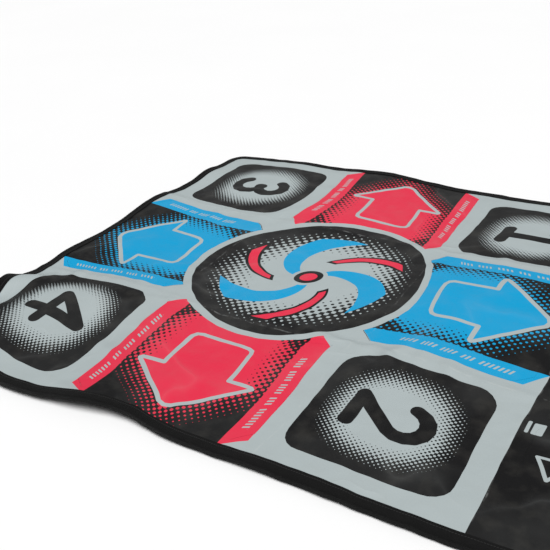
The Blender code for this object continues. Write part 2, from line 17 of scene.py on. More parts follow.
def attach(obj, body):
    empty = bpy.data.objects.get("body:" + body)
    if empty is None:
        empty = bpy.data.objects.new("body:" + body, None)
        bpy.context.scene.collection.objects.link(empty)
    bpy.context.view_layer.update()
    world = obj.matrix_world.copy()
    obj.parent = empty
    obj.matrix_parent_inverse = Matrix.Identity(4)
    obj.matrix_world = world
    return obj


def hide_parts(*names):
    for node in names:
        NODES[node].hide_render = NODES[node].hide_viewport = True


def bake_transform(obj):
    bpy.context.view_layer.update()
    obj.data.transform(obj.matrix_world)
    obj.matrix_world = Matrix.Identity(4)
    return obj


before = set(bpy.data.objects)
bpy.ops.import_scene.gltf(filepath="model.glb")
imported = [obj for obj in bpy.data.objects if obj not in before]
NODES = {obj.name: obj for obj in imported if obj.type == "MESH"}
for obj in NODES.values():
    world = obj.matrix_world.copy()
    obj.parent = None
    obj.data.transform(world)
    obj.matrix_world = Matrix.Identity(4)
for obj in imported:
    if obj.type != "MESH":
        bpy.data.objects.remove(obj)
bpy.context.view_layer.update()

# %% [markdown]
# The camera stands at the head end, to the player's right, and looks down across the mat.
# Its place was worked out from the print's straight edges, square pads and disc, so it is
# given as a point, a compass turn, a downward tilt and a slight roll.

# %% Set up the camera
CAMERA_POINT = (0.9936, 0.6036, 0.6184)
CAMERA_TURN = 123.836
CAMERA_TILT = 27.484
CAMERA_ROLL = -4.119
FOCAL_PIXELS = 853.55
PICTURE_PIXELS = 550
SHIFT_PIXELS = -1
CLIP_START = 0.01
SENSOR = 36.0


def camera_turn(turn, tilt, roll):
    """Return the rotation that looks along a compass turn and down by a tilt."""
    turn, tilt, roll = (math.radians(angle) for angle in (turn, tilt, roll))
    ahead = Vector((
        -math.sin(turn) * math.cos(tilt), math.cos(turn) * math.cos(tilt), -math.sin(tilt)
    ))
    level_right = ahead.cross(Vector((0, 0, 1))).normalized()
    level_up = level_right.cross(ahead)
    right = level_right * math.cos(roll) + level_up * math.sin(roll)
    up = level_up * math.cos(roll) - level_right * math.sin(roll)
    return Matrix((right, up, -ahead)).transposed()


camera_data = bpy.data.cameras.new("mat_camera")
camera_data.sensor_width = SENSOR
camera_data.lens = FOCAL_PIXELS * SENSOR / PICTURE_PIXELS
camera_data.clip_start = CLIP_START
camera_data.shift_y = SHIFT_PIXELS / PICTURE_PIXELS
camera = bpy.data.objects.new("mat_camera", camera_data)
camera.matrix_world = (
    Matrix.Translation(CAMERA_POINT) @ camera_turn(CAMERA_TURN, CAMERA_TILT, CAMERA_ROLL).to_4x4()
)
bpy.context.scene.collection.objects.link(camera)
bpy.context.scene.camera = camera
print("camera lens", round(camera_data.lens, 2), "mm")

# %% [markdown]
# These sizes repeat the ones that the solids were made from, because the print has to
# meet the edges of the pads. All are metres.

# %% Sizes of the mat and its print
FOLD_X = 0.155
CREASE_HALF = 0.011
HALF_WIDTH = 0.415
FOOT_Y = -0.415
HEAD_Y = 0.515
MAT_CORNER = 0.032
CORNER_PAD_CENTRE = 0.270
SMALL_PAD = (0.265, 0.450)
ARROW_HALF = 0.138
ARROW_ARC = 0.1905
ARROW_CLIP = 0.168
ARROW_SHOULDER = 0.0333
DISC_RADIUS = 0.1765
HEAD_LINE = 0.4025
BOX_CLEAR = (0.085, 0.440)

# %% [markdown]
# A used mat never lies quite flat. Broad swells lift it by up to 18 mm, pushes in the
# plane bring the print to where the photo shows it, and short puckers stand across the
# fold lines. All layers use the same function, so edges that meet when flat still meet
# when draped. The area round the control box stays flat, because the box clamps it.

# %% How the mat lies
# Each one: x, y and reach in metres, then how far the mat goes there in millimetres
RISES = [
    (-0.02, 0.28, 0.10, 12), (0.14, 0.25, 0.06, 6), (-0.42, -0.06, 0.06, 9),
    (-0.21, -0.10, 0.07, 5), (-0.36, -0.26, 0.07, 6), (-0.28, -0.42, 0.04, 10),
    (-0.13, -0.42, 0.04, 8), (-0.09, -0.38, 0.06, 4), (0.17, -0.19, 0.07, 10),
    (0.28, -0.19, 0.04, -6), (0.27, -0.31, 0.06, 9), (0.385, -0.39, 0.05, 18),
    (0.24, -0.08, 0.04, 4), (0.31, -0.05, 0.06, 8), (0.42, -0.10, 0.05, 10), (0.08, -0.42, 0.04, 7),
    (0.245, -0.425, 0.02, 22), (0.19, -0.42, 0.02, -5), (0.215, -0.385, 0.02, 11),
    (0.28, -0.395, 0.025, -8),
]
PUSHED_SIDEWAYS = [
    (-0.04, -0.18, 0.08, 20), (-0.09, 0.12, 0.07, -5), (0.07, -0.02, 0.07, 12),
    (0.14, 0.07, 0.05, 4), (0.09, -0.41, 0.08, 15), (0.28, -0.31, 0.08, -17),
    (0.39, -0.21, 0.06, 17), (0.30, -0.08, 0.06, 12), (-0.29, -0.11, 0.08, -9),
    (-0.23, -0.22, 0.05, -3), (-0.22, -0.38, 0.07, -7), (-0.41, -0.41, 0.06, 6),
    (-0.26, 0.20, 0.12, 8), (0.07, 0.21, 0.07, -7), (0.21, 0.37, 0.06, 7), (-0.09, 0.32, 0.07, -6),
    (0.34, 0.20, 0.06, -6), (0.42, -0.04, 0.04, -10),
]
PUSHED_LENGTHWAYS = [
    (-0.13, 0.06, 0.08, 18), (0.00, 0.12, 0.05, 6), (-0.24, -0.08, 0.08, 17),
    (-0.07, 0.26, 0.09, -17), (0.21, 0.30, 0.08, -11), (0.10, 0.21, 0.05, 9),
    (0.20, 0.09, 0.05, -13), (0.12, 0.00, 0.04, -4), (0.38, -0.09, 0.09, 20),
    (-0.10, -0.20, 0.06, -13), (-0.13, -0.30, 0.06, -4), (-0.27, -0.40, 0.09, 11),
    (-0.42, 0.10, 0.06, -7), (-0.40, 0.32, 0.08, 3), (0.22, -0.22, 0.06, -4),
    (0.06, -0.41, 0.07, 6), (0.205, -0.43, 0.025, -12), (0.17, -0.38, 0.03, 6),
    (-0.26, -0.20, 0.05, 4),
]
# Each pucker: x, y, direction in degrees, half length, half width and height
PUCKERS = [
    (0.158, 0.300, 20, 0.030, 0.008, 0.0030),
    (0.158, 0.214, -15, 0.034, 0.008, 0.0028),
    (0.182, 0.352, 40, 0.022, 0.007, 0.0022),
    (0.172, -0.338, -10, 0.024, 0.007, 0.0030),
    (0.190, -0.362, 30, 0.022, 0.006, 0.0024),
    (-0.172, 0.262, 15, 0.026, 0.008, 0.0026),
    (-0.186, -0.160, -35, 0.024, 0.008, 0.0024),
    (0.120, 0.250, 5, 0.026, 0.007, 0.0020),
    (0.150, 0.110, 60, 0.030, 0.007, 0.0024),
    (-0.150, 0.060, 75, 0.030, 0.008, 0.0018),
    (0.300, -0.150, 80, 0.030, 0.008, 0.0022),
    (-0.300, -0.168, 95, 0.030, 0.009, 0.0018),
    (-0.130, -0.260, -5, 0.026, 0.008, 0.0020),
    (0.050, -0.165, 85, 0.030, 0.008, 0.0016),
    # Narrow creases where the vinyl has been trodden on
    (0.15, 0.14, 75, 0.03, 0.004, 0.0015),
    (0.16, 0.20, 80, 0.03, 0.004, 0.0015),
    (0.13, 0.05, 80, 0.03, 0.004, 0.0015),
    (0.17, 0.22, 60, 0.02, 0.005, 0.0035),
    (0.30, 0.22, 5, 0.02, 0.008, 0.0015),
    (0.17, -0.15, 110, 0.03, 0.004, 0.0012),
    (0.40, -0.12, 70, 0.03, 0.004, 0.0012),
    (0.39, -0.04, 60, 0.03, 0.003, 0.0015),
]
# Fine ripples and crinkles: length, height and the seed of their noise
RIPPLES = [(0.055, 0.0015, 3.1), (0.017, 0.0006, 7.7)]
LIFT_SOFTNESS = 0.001
LIFT_LIMIT = 0.0185
LIMIT_POWER = 6
# Gathers push the print about in the plane, most where the pads' corners meet
GATHER_LENGTH = 0.024
GATHER_PUSH = 0.0009
GATHER_CORNER_PUSH = 0.0034
GATHER_CORNER = 0.160
GATHER_REACH = 0.045
GATHER_SEED = 0.11
FOLD_RIDGE = 0.0012
FOLD_RIDGE_WIDTH = 0.006
BOX_FADE = 0.05
# Blender's vector noise starts from the clock unless it has a seed, so it gets one here
# and the mat lies the same way in every run
NOISE_SEED = 1795697575
noise.seed_set(NOISE_SEED)


def lie(x, y):
    """Return how far points of the flat mat move in X, Y and Z as it lies."""
    lift, push_x, push_y = (
        sum(
            size / 1000 * np.exp(-((x - at_x) ** 2 + (y - at_y) ** 2) / reach ** 2 / 2)
            for at_x, at_y, reach, size in swells
        )
        for swells in (RISES, PUSHED_SIDEWAYS, PUSHED_LENGTHWAYS)
    )
    lift = 0.5 * (lift + np.sqrt(lift * lift + LIFT_SOFTNESS ** 2))
    for at_x, at_y, turn, length, width, height in PUCKERS:
        c, s = math.cos(math.radians(turn)), math.sin(math.radians(turn))
        along = ((x - at_x) * c + (y - at_y) * s) / length
        across = ((y - at_y) * c - (x - at_x) * s) / width
        lift += height * np.exp(-(along * along + across * across) / 2)
    for size, height, seed in RIPPLES:
        lift += height * np.array(
            [0.5 + noise.noise(Vector((a / size, b / size, seed))) for a, b in zip(x, y)]
        )
    lift += FOLD_RIDGE * np.exp(-((abs(x) - FOLD_X) / FOLD_RIDGE_WIDTH) ** 2 / 2)
    lift = np.maximum(lift, 0)
    lift = lift / (1 + (lift / LIFT_LIMIT) ** LIMIT_POWER) ** (1 / LIMIT_POWER)
    near = ((abs(x) - GATHER_CORNER) ** 2 + (abs(y) - GATHER_CORNER) ** 2) / GATHER_REACH ** 2
    gather = GATHER_PUSH + GATHER_CORNER_PUSH * np.exp(-near / 2)
    shifts = np.array([
        noise.noise_vector(Vector((a, b, GATHER_SEED)) / GATHER_LENGTH)[:2] for a, b in zip(x, y)
    ])
    push_x = push_x + gather * shifts[:, 0]
    push_y = push_y + gather * shifts[:, 1]
    free = np.clip(np.maximum(abs(x) - BOX_CLEAR[0], BOX_CLEAR[1] - y) / BOX_FADE, 0, 1)
    free = free * free * (3 - 2 * free)
    return push_x * free, push_y * free, lift * free


def drape(shape):
    """Move every point of a flat bmesh to where the mat lies."""
    points = list(shape.verts)
    moves = lie(*(np.array([point.co[axis] for point in points]) for axis in (0, 1)))
    for point, move in zip(points, np.transpose(moves)):
        point.co += Vector(move)


PAD_TWO = np.array([CORNER_PAD_CENTRE])
print("lift at the middle of pad two:", round(float(lie(PAD_TWO, PAD_TWO)[2][0]) * 1000, 1), "mm")

# %% [markdown]
# Each layer starts as a copy of its solid. The copy is merged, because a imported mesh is
# loose triangles, and its flat faces are dissolved into large ones. Planes then slice it
# both ways into small cells. A note of each point's flat place is kept as a UV map, so
# that the print stays on the vinyl wherever the vinyl goes.

# %% Slicing flat layers into cells
FINE_CELL = 0.004
COARSE_CELL = 0.008
MERGE = 0.000002
FLAT_ANGLE = 0.5
SHARP_ANGLE = 40
FACES_UP = 0.7


def all_parts(shape):
    """Return every vertex, edge and face of a bmesh, as operators want them."""
    return shape.verts[:] + shape.edges[:] + shape.faces[:]


def copied(node):
    """Return a merged copy of a solid with its flat faces dissolved."""
    shape = bmesh.new()
    shape.from_mesh(NODES[node].data)
    bmesh.ops.remove_doubles(shape, verts=shape.verts, dist=MERGE)
    bmesh.ops.dissolve_limit(
        shape, angle_limit=math.radians(FLAT_ANGLE), verts=shape.verts, edges=shape.edges
    )
    return shape


def cut_at(shape, axis, place, **cleared):
    """Slice a bmesh at one place along an axis."""
    point, normal = [0, 0, 0], [0, 0, 0]
    point[axis], normal[axis] = place, 1
    return bmesh.ops.bisect_plane(
        shape, geom=all_parts(shape), dist=MERGE, plane_co=point, plane_no=normal, **cleared
    )


def clipped(shape, x, keep_above):
    """Cut a closed bmesh at one X and close the cut."""
    cut = cut_at(shape, 0, x, clear_inner=keep_above, clear_outer=not keep_above)
    rim = [part for part in cut["geom_cut"] if isinstance(part, bmesh.types.BMEdge)]
    bmesh.ops.holes_fill(shape, edges=rim, sides=0)
    return shape


def sliced(shape, cell, axes=(0, 1)):
    """Slice a bmesh into cells on one lattice that all pieces share."""
    for axis in axes:
        low = min(point.co[axis] for point in shape.verts)
        high = max(point.co[axis] for point in shape.verts)
        for step in range(math.ceil(low / cell), math.floor(high / cell) + 1):
            if low + MERGE < step * cell < high - MERGE:
                cut_at(shape, axis, step * cell)
    return shape


def bevelled(shape, edges, size, **limits):
    """Round some edges of a bmesh."""
    bmesh.ops.bevel(
        shape, geom=edges, offset=size, offset_type="OFFSET", affect="EDGES", segments=3,
        profile=0.5, material=-1, **limits
    )
    return shape


def grown(shape, grow):
    """Move the outline of a flat plate outwards."""
    for point in shape.verts:
        outward = point.normal.xy
        if outward.length > 0.01:
            outward.normalize()
            point.co.x += grow * outward.x
            point.co.y += grow * outward.y
    return shape


FLAT_SIZES = {}


def laid_piece(name, shape, material):
    """Note flat places in a UV map, drape the bmesh and link it as an object."""
    flat = shape.loops.layers.uv.new("flat")
    for face in shape.faces:
        face.smooth = True
        for corner in face.loops:
            corner[flat].uv = corner.vert.co.xy
    xs, ys = ([point.co[axis] for point in shape.verts] for axis in (0, 1))
    upper = sum(face.calc_area() for face in shape.faces if face.normal.z > FACES_UP)
    FLAT_SIZES[name] = (max(xs) - min(xs), max(ys) - min(ys), upper)
    drape(shape)
    return linked(name, shape, material)


def linked(name, shape, material):
    """Turn a bmesh into an object with one material."""
    mesh = bpy.data.meshes.new(name)
    shape.to_mesh(mesh)
    shape.free()
    mesh.materials.append(material)
    piece = bpy.data.objects.new(name, mesh)
    bpy.context.scene.collection.objects.link(piece)
    mark_sharp(piece)
    return piece


def mark_sharp(piece):
    """Keep corners crisp where faces meet at a large angle."""
    shape = bmesh.new()
    shape.from_mesh(piece.data)
    for edge in shape.edges:
        edge.smooth = edge.calc_face_angle(0.0) < math.radians(SHARP_ANGLE)
    shape.to_mesh(piece.data)
    shape.free()


print("cell of the printed layers:", FINE_CELL * 1000, "mm")

# %% [markdown]
# The print is built from sums, as a screen printer's artwork is built from masks. A small
# class lets a shader value be used in a formula, so a rule such as "inside this circle"
# can be read as one line.

# %% Shader values that can be used in formulas
class Field:
    """One shader value, with the usual arithmetic."""

    def __init__(self, tree, socket):
        self.tree = tree
        self.socket = socket

    def __add__(self, other):
        return sums(self.tree, "ADD", self, other)

    def __sub__(self, other):
        return sums(self.tree, "SUBTRACT", self, other)

    def __mul__(self, other):
        return sums(self.tree, "MULTIPLY", self, other)

    def __truediv__(self, other):
        return sums(self.tree, "DIVIDE", self, other)

    __radd__ = __add__
    __rmul__ = __mul__

    def __rsub__(self, other):
        return sums(self.tree, "SUBTRACT", other, self)

    def __abs__(self):
        return sums(self.tree, "ABSOLUTE", self)

    def least(self, other):
        return sums(self.tree, "MINIMUM", self, other)

    def most(self, other):
        return sums(self.tree, "MAXIMUM", self, other)

    def power(self, other):
        return sums(self.tree, "POWER", self, other)

    def wave(self):
        return sums(self.tree, "COSINE", self)

    def part(self):
        return sums(self.tree, "FRACT", self)

    def held(self):
        """Hold the value between 0 and 1."""
        return sums(self.tree, "ADD", self, 0.0, clamp=True)


def connect(tree, value, socket):
    """Feed a field, a colour, a vector or a number into a socket."""
    if isinstance(value, Field):
        tree.links.new(value.socket, socket)
    else:
        socket.default_value = value


def feed(node, **fields):
    """Link fields to a node's named inputs, with _ in place of a space."""
    for label, field in fields.items():
        field.tree.links.new(field.socket, node.inputs[label.replace("_", " ")])


def sums(tree, operation, *values, clamp=False):
    """Add one Math node and return its result."""
    node = tree.nodes.new("ShaderNodeMath")
    node.operation = operation
    node.use_clamp = clamp
    for place, value in enumerate(values):
        connect(tree, value, node.inputs[place])
    return Field(tree, node.outputs[0])


def vectors(tree, operation, *values, result="Vector"):
    """Add one Vector Math node and return a vector or a value."""
    node = tree.nodes.new("ShaderNodeVectorMath")
    node.operation = operation
    for place, value in enumerate(values):
        connect(tree, value, node.inputs[place])
    return Field(tree, node.outputs[result])


EDGE_SOFTNESS = 0.0003


def inside(distance, softness=EDGE_SOFTNESS):
    """Return 1 where a signed distance in metres is negative, and 0 outside."""
    return sums(distance.tree, "MULTIPLY_ADD", distance, -1 / softness, 0.5, clamp=True)


def radius_of(x, y):
    """Return the length of a vector from its X and Y."""
    return (x * x + y * y).power(0.5)


def spaced(value, pitch):
    """Return the distance to the nearest of many evenly spaced lines."""
    return abs((value / pitch).part() - 0.5) * pitch


def crossed(x, y, pitch):
    """Return two crossed cosine waves, which peak on a staggered lattice."""
    return (x / pitch * math.tau).wave() * (y / pitch * math.tau).wave()


def mixed(tree, share, under, over):
    """Return one colour laid over another by a mask."""
    node = tree.nodes.new("ShaderNodeMix")
    node.data_type = "RGBA"
    connect(tree, share, node.inputs["Factor"])
    connect(tree, under, node.inputs["A"])
    connect(tree, over, node.inputs["B"])
    return Field(tree, node.outputs["Result"])


def noise_at(tree, place, scale, detail=2.0, roughness=0.5):
    """Return a noise value from 0 to 1, at so many waves a metre."""
    node = tree.nodes.new("ShaderNodeTexNoise")
    node.inputs["Scale"].default_value = scale
    node.inputs["Detail"].default_value = detail
    node.inputs["Roughness"].default_value = roughness
    connect(tree, place, node.inputs["Vector"])
    return Field(tree, node.outputs["Fac"])


SOCKETS = {"value": "NodeSocketFloat", "vector": "NodeSocketVector", "colour": "NodeSocketColor"}


def new_group(name, inputs, outputs):
    """Start a node group, and return its tree, its inputs as fields and its output node."""
    tree = bpy.data.node_groups.new(name, "ShaderNodeTree")
    for label, kind in inputs:
        tree.interface.new_socket(label, in_out="INPUT", socket_type=SOCKETS[kind])
    for label, kind in outputs:
        tree.interface.new_socket(label, in_out="OUTPUT", socket_type=SOCKETS[kind])
    enter = tree.nodes.new("NodeGroupInput")
    leave = tree.nodes.new("NodeGroupOutput")
    fields = [Field(tree, enter.outputs[label]) for label, _ in inputs]
    return tree, fields, leave


def placed(tree, group, *values):
    """Place a node group with its values, and return its outputs as fields."""
    node = tree.nodes.new("ShaderNodeGroup")
    node.node_tree = group
    for place, value in enumerate(values):
        connect(tree, value, node.inputs[place])
    return [Field(tree, output) for output in node.outputs]


def split(tree, vector):
    """Return the X and Y of a vector."""
    node = tree.nodes.new("ShaderNodeSeparateXYZ")
    connect(tree, vector, node.inputs[0])
    return Field(tree, node.outputs[0]), Field(tree, node.outputs[1])


def joined(tree, x, y):
    """Return a vector made of X and Y."""
    node = tree.nodes.new("ShaderNodeCombineXYZ")
    connect(tree, x, node.inputs[0])
    connect(tree, y, node.inputs[1])
    return Field(tree, node.outputs[0])


def linear(red, green, blue):
    """Return a colour read as 0 to 255 as the linear colour that Blender works in."""
    shares = [channel / 255 for channel in (red, green, blue)]
    return tuple(
        s / 12.92 if s <= 0.04045 else ((s + 0.055) / 1.055) ** 2.4 for s in shares
    ) + (1.0,)


PALE = linear(171, 181, 182)
BLACK = linear(14, 14, 15)
PINK = linear(226, 45, 74)
BLUE = linear(0, 157, 209)
print("inks: pale, black, pink and blue")

# %% [markdown]
# A halftone prints one ink in dots whose size gives the tone. Two crossed cosine waves
# make a staggered screen: where the wave is above a level that falls with the tone there
# is ink. Small dots grow, touch at their corners, and leave round gaps that shrink.

# %% Halftone screen and strokes
FULL_LEVEL = 1.08
DOT_CRISPNESS = 7.0


def halftone_group():
    """Make a group that turns an ink share into a staggered dot screen."""
    tree, (x, y, pitch, ink), leave = new_group(
        "halftone", [("X", "value"), ("Y", "value"), ("Pitch", "value"), ("Ink", "value")],
        [("Mask", "value")],
    )
    wave = crossed(x, y, pitch)
    level = FULL_LEVEL - ink.held() * (FULL_LEVEL * 2)
    feed(leave, Mask=sums(tree, "MULTIPLY_ADD", wave - level, DOT_CRISPNESS, 0.5, clamp=True))
    return tree


def stroke_group():
    """Make a group that gives the distance from a point to a straight stroke."""
    tree, (point, start, end), leave = new_group(
        "stroke", [("Point", "vector"), ("Start", "vector"), ("End", "vector")],
        [("Distance", "value")],
    )
    reach = vectors(tree, "SUBTRACT", point, start)
    run = vectors(tree, "SUBTRACT", end, start)
    along = vectors(tree, "DOT_PRODUCT", reach, run, result="Value")
    whole = vectors(tree, "DOT_PRODUCT", run, run, result="Value")
    share = (along / whole).held()
    scaled = tree.nodes.new("ShaderNodeVectorMath")
    scaled.operation = "SCALE"
    connect(tree, run, scaled.inputs[0])
    connect(tree, share, scaled.inputs["Scale"])
    off = vectors(tree, "SUBTRACT", reach, Field(tree, scaled.outputs[0]))
    distance = vectors(tree, "LENGTH", off, result="Value")
    feed(leave, Distance=distance)
    return tree


HALFTONE = halftone_group()
STROKE = stroke_group()


def nearest_stroke(tree, point, corners):
    """Return the distance to a run of straight strokes."""
    found = None
    for start, end in zip(corners, corners[1:]):
        distance = placed(tree, STROKE, point, (*start, 0), (*end, 0))[0]
        found = distance if found is None else found.least(distance)
    return found


print("groups:", HALFTONE.name, STROKE.name)

# %% [markdown]
# All four arrow pads carry one design, turned and in one of two inks: a plain band on
# each side with short slanted bars, a pale arrow outline that points away from the disc,
# and black dots that swell towards the bands and the outer end.

# %% Print of the arrow pads
BAND_EDGE = 0.108
BAND_END = 0.4780
ARROW_LINE = 0.0070
ARROW_CORNERS = [(0.216, 0.0), (0.216, 0.052), (0.293, 0.052), (0.293, 0.093), (0.380, 0.0)]
# The arrow's outline with its outer corners rounded off
ARROW_OUTLINE = [
    (0.216, 0.0), (0.216, 0.041), (0.2192, 0.0488), (0.227, 0.052), (0.293, 0.052),
    (0.293, 0.087), (0.2955, 0.0895), (0.2995, 0.0862), (0.3705, 0.0102), (0.3735, 0.0),
]
# The slope of the arrow's head as a line: its normal and its distance
SLOPE_NORMAL = (0.730, 0.684)
SLOPE_DISTANCE = 0.2774
# Ink on the head's slopes, and how fast it grows outwards and fades inwards
SLOPE_INK = (0.52, 10.5, 24.0)
# Ink by the bands and by the disc: where it starts, how fast it grows and its most
BAND_INK = (0.070, 17, 0.64)
DISC_INK = (-0.096, 26, 0.78)
DISC_INK_LEAN = 0.9
ARROW_PITCH = 0.0114
BAR_PITCH = 0.0062
BAR_WIDTH = 0.0030
BAR_HALF_HEIGHT = 0.0040
BAR_LEAN = 0.45
BAR_GAP_HALF_WIDTH = 0.0027
BAND_END_LEAN = 0.7
BAR_RUN = (0.204, 0.366)
BAR_GAPS = (0.2325, 0.2635, 0.2945, 0.3193)


def arrow_print_group():
    """Make the artwork of an arrow pad from its place outwards and across."""
    tree, (out, across, ground), leave = new_group(
        "arrow_print", [("Out", "value"), ("Across", "value"), ("Ground", "colour")],
        [("Color", "colour")],
    )
    side = abs(across)
    folded = joined(tree, out, side)
    line = nearest_stroke(tree, folded, ARROW_OUTLINE)
    (back, _), (_, shaft), (neck, _), (_, barb), (tip, _) = ARROW_CORNERS
    in_shaft = inside(side - shaft) * inside(back - out) * inside(out - neck)
    in_head = inside(side - (tip - out) * (barb / (tip - neck))) * inside(neck - out)
    in_arrow = in_shaft.most(in_head)

    off_slope = out * SLOPE_NORMAL[0] + side * SLOPE_NORMAL[1] - SLOPE_DISTANCE
    on_slope, growth, fading = SLOPE_INK
    towards_end = (off_slope * growth).least(off_slope * fading) + on_slope
    by_band, by_disc = (
        ((place - start) * slope).least(most)
        for place, (start, slope, most) in ((side, BAND_INK), (side - out * DISC_INK_LEAN, DISC_INK))
    )
    ink = by_band.most(towards_end).most(by_disc)
    dots = placed(tree, HALFTONE, out, across, ARROW_PITCH, ink)[0]
    dots = dots * (1 - in_arrow) * inside(side - BAND_EDGE)

    band_middle = (BAND_EDGE + ARROW_HALF) / 2
    lean = side - band_middle
    slanted = out + lean * BAR_LEAN
    bars = inside(spaced(slanted, BAR_PITCH) - BAR_WIDTH / 2) * inside(abs(lean) - BAR_HALF_HEIGHT)
    bars = bars * inside(BAR_RUN[0] - out) * inside(out - BAR_RUN[1])
    for gap in BAR_GAPS:
        bars = bars * inside(BAR_GAP_HALF_WIDTH - abs(slanted - gap))

    past_band = inside(BAND_END - out - side * BAND_END_LEAN) * inside(BAND_EDGE - side)
    pale = inside(line - ARROW_LINE / 2).most(bars).most(past_band)

    colour = mixed(tree, dots, ground, BLACK)
    feed(leave, Color=mixed(tree, pale, colour, PALE))
    return tree


ARROW_PRINT = arrow_print_group()
print("artwork:", ARROW_PRINT.name, "with", len(ARROW_PRINT.nodes), "nodes")

# %% [markdown]
# The corner pads are black with a pale glow in fine dots and a plain heavy number from 1
# to 4. A number is a few round-ended strokes, as a sign painter would lay it out.

# %% Print of the corner pads
NUMBER_STROKE = 0.0200
GLOW_START = 0.050
GLOW_END = 0.090
GLOW_SHAPE = 2.5
FINE_PITCH = 0.0072


def arc_points(centre, radius, start, end, steps):
    """Return points along an arc, with angles in degrees."""
    return [
        (centre[0] + radius * math.cos(math.radians(start + (end - start) * i / steps)),
         centre[1] + radius * math.sin(math.radians(start + (end - start) * i / steps)))
        for i in range(steps + 1)
    ]


TWO_TOP = arc_points((0, 0.021), 0.0275, 165, -38, 8)
THREE_TOP = arc_points((0, 0.0225), 0.0245, 150, -90, 8)
THREE_FOOT = arc_points((0, -0.0235), 0.0265, 90, -150, 8)
NUMBERS = {
    "one": [[(-0.021, 0.026), (0.004, 0.047), (0.004, -0.048)], [(-0.020, -0.048), (0.028, -0.048)]],
    "two": [TWO_TOP + [(-0.028, -0.048), (0.030, -0.048)]],
    "three": [THREE_TOP + THREE_FOOT],
    "four": [[(0.014, -0.050), (0.014, 0.048), (-0.034, -0.018), (0.036, -0.018)]],
}


def corner_print_group():
    """Make the glow of a corner pad under a number's mask."""
    tree, (x, y, mark), leave = new_group(
        "corner_print", [("X", "value"), ("Y", "value"), ("Mark", "value")],
        [("Color", "colour")],
    )
    reach = (abs(x).power(GLOW_SHAPE) + abs(y).power(GLOW_SHAPE)).power(1 / GLOW_SHAPE)
    ink = (reach - GLOW_START) / (GLOW_END - GLOW_START)
    dots = placed(tree, HALFTONE, x, y, FINE_PITCH, ink)[0]
    feed(leave, Color=mixed(tree, dots.most(mark), PALE, BLACK))
    return tree


CORNER_PRINT = corner_print_group()
print("artwork:", CORNER_PRINT.name, "and numbers", ", ".join(NUMBERS))

# %% [markdown]
# The disc has a black rim that breaks into dots towards a pale middle. Its figure is a
# plain pinwheel in the two inks: broad blue blades and narrow pink ones.

# %% Print of the disc
DISC_PITCH = 0.0138
RIM_START = 0.078
RIM_WIDTH = 0.078
BLADE_COUNT = 3
BLADE_TWIST = 5.2
BLADE_SOFTNESS = 0.0006
# Each set of blades: middle and half width as shares of a turn, start, end and ink
BLADES = [
    (0.25, 0.130, 0.026, 0.132, BLUE),
    (0.72, 0.075, 0.050, 0.140, BLACK),
    (0.72, 0.045, 0.055, 0.135, PINK),
]
# The hub's rings: radius and ink
HUB = [(0.020, BLACK), (0.012, PINK)]


def disc_print_group():
    """Make the artwork of the centre disc."""
    tree, (x, y), leave = new_group(
        "disc_print", [("X", "value"), ("Y", "value")], [("Color", "colour"), ("Mask", "value")]
    )
    reach = radius_of(x, y)
    dots = placed(tree, HALFTONE, x, y, DISC_PITCH, (reach - RIM_START) / RIM_WIDTH)[0]
    colour = mixed(tree, dots, PALE, BLACK)
    turn = sums(tree, "ARCTAN2", y, x) / math.tau
    # Two whole turns are added, so that the part of a turn is always taken from above zero
    swirl = (turn * BLADE_COUNT + reach * BLADE_TWIST + 2 * BLADE_COUNT).part()
    for middle, half_width, start, end, ink in BLADES:
        blade = inside((abs(swirl - middle) - half_width) * reach * 2, BLADE_SOFTNESS)
        blade = blade * inside(start - reach) * inside(reach - end)
        colour = mixed(tree, blade, colour, ink)
    for radius, ink in HUB:
        colour = mixed(tree, inside(reach - radius), colour, ink)
    feed(leave, Color=colour, Mask=inside(reach - DISC_RADIUS))
    return tree


DISC_PRINT = disc_print_group()
print("artwork:", DISC_PRINT.name, "with", len(DISC_PRINT.nodes), "nodes")

# %% [markdown]
# Printed vinyl is smooth, soft and slightly glossy. Use leaves broad cloudy changes in
# its sheen and tone, fine crinkles, and pale lines where it has been folded. The pale fold
# lines are partly real wear and partly painted sheen. Faint pale streaks along random
# creases are painted sheen, and the cloudy lightening of the black ink is partly painted sheen.

# %% Surface of used vinyl
FOLD_LINES_Y = (-0.158, 0.158, 0.402)
FOLD_WANDER = 0.012
FOLD_LINE_OFFSET = 0.0004
WEAR_AND_SHEEN_HALF_WIDTH = 0.0011
WEAR_AND_SHEEN_SOFTNESS = 0.0022
VINYL_RELIEF = 0.0009
# Tones laid over the ink: a faded grey that is partly painted cloudy sheen, dust, and a pale tone for
# wear and painted sheen
FADED_AND_SHEEN, DUST, WEAR_AND_SHEEN = linear(150, 152, 150), linear(146, 142, 132), linear(205, 208, 206)


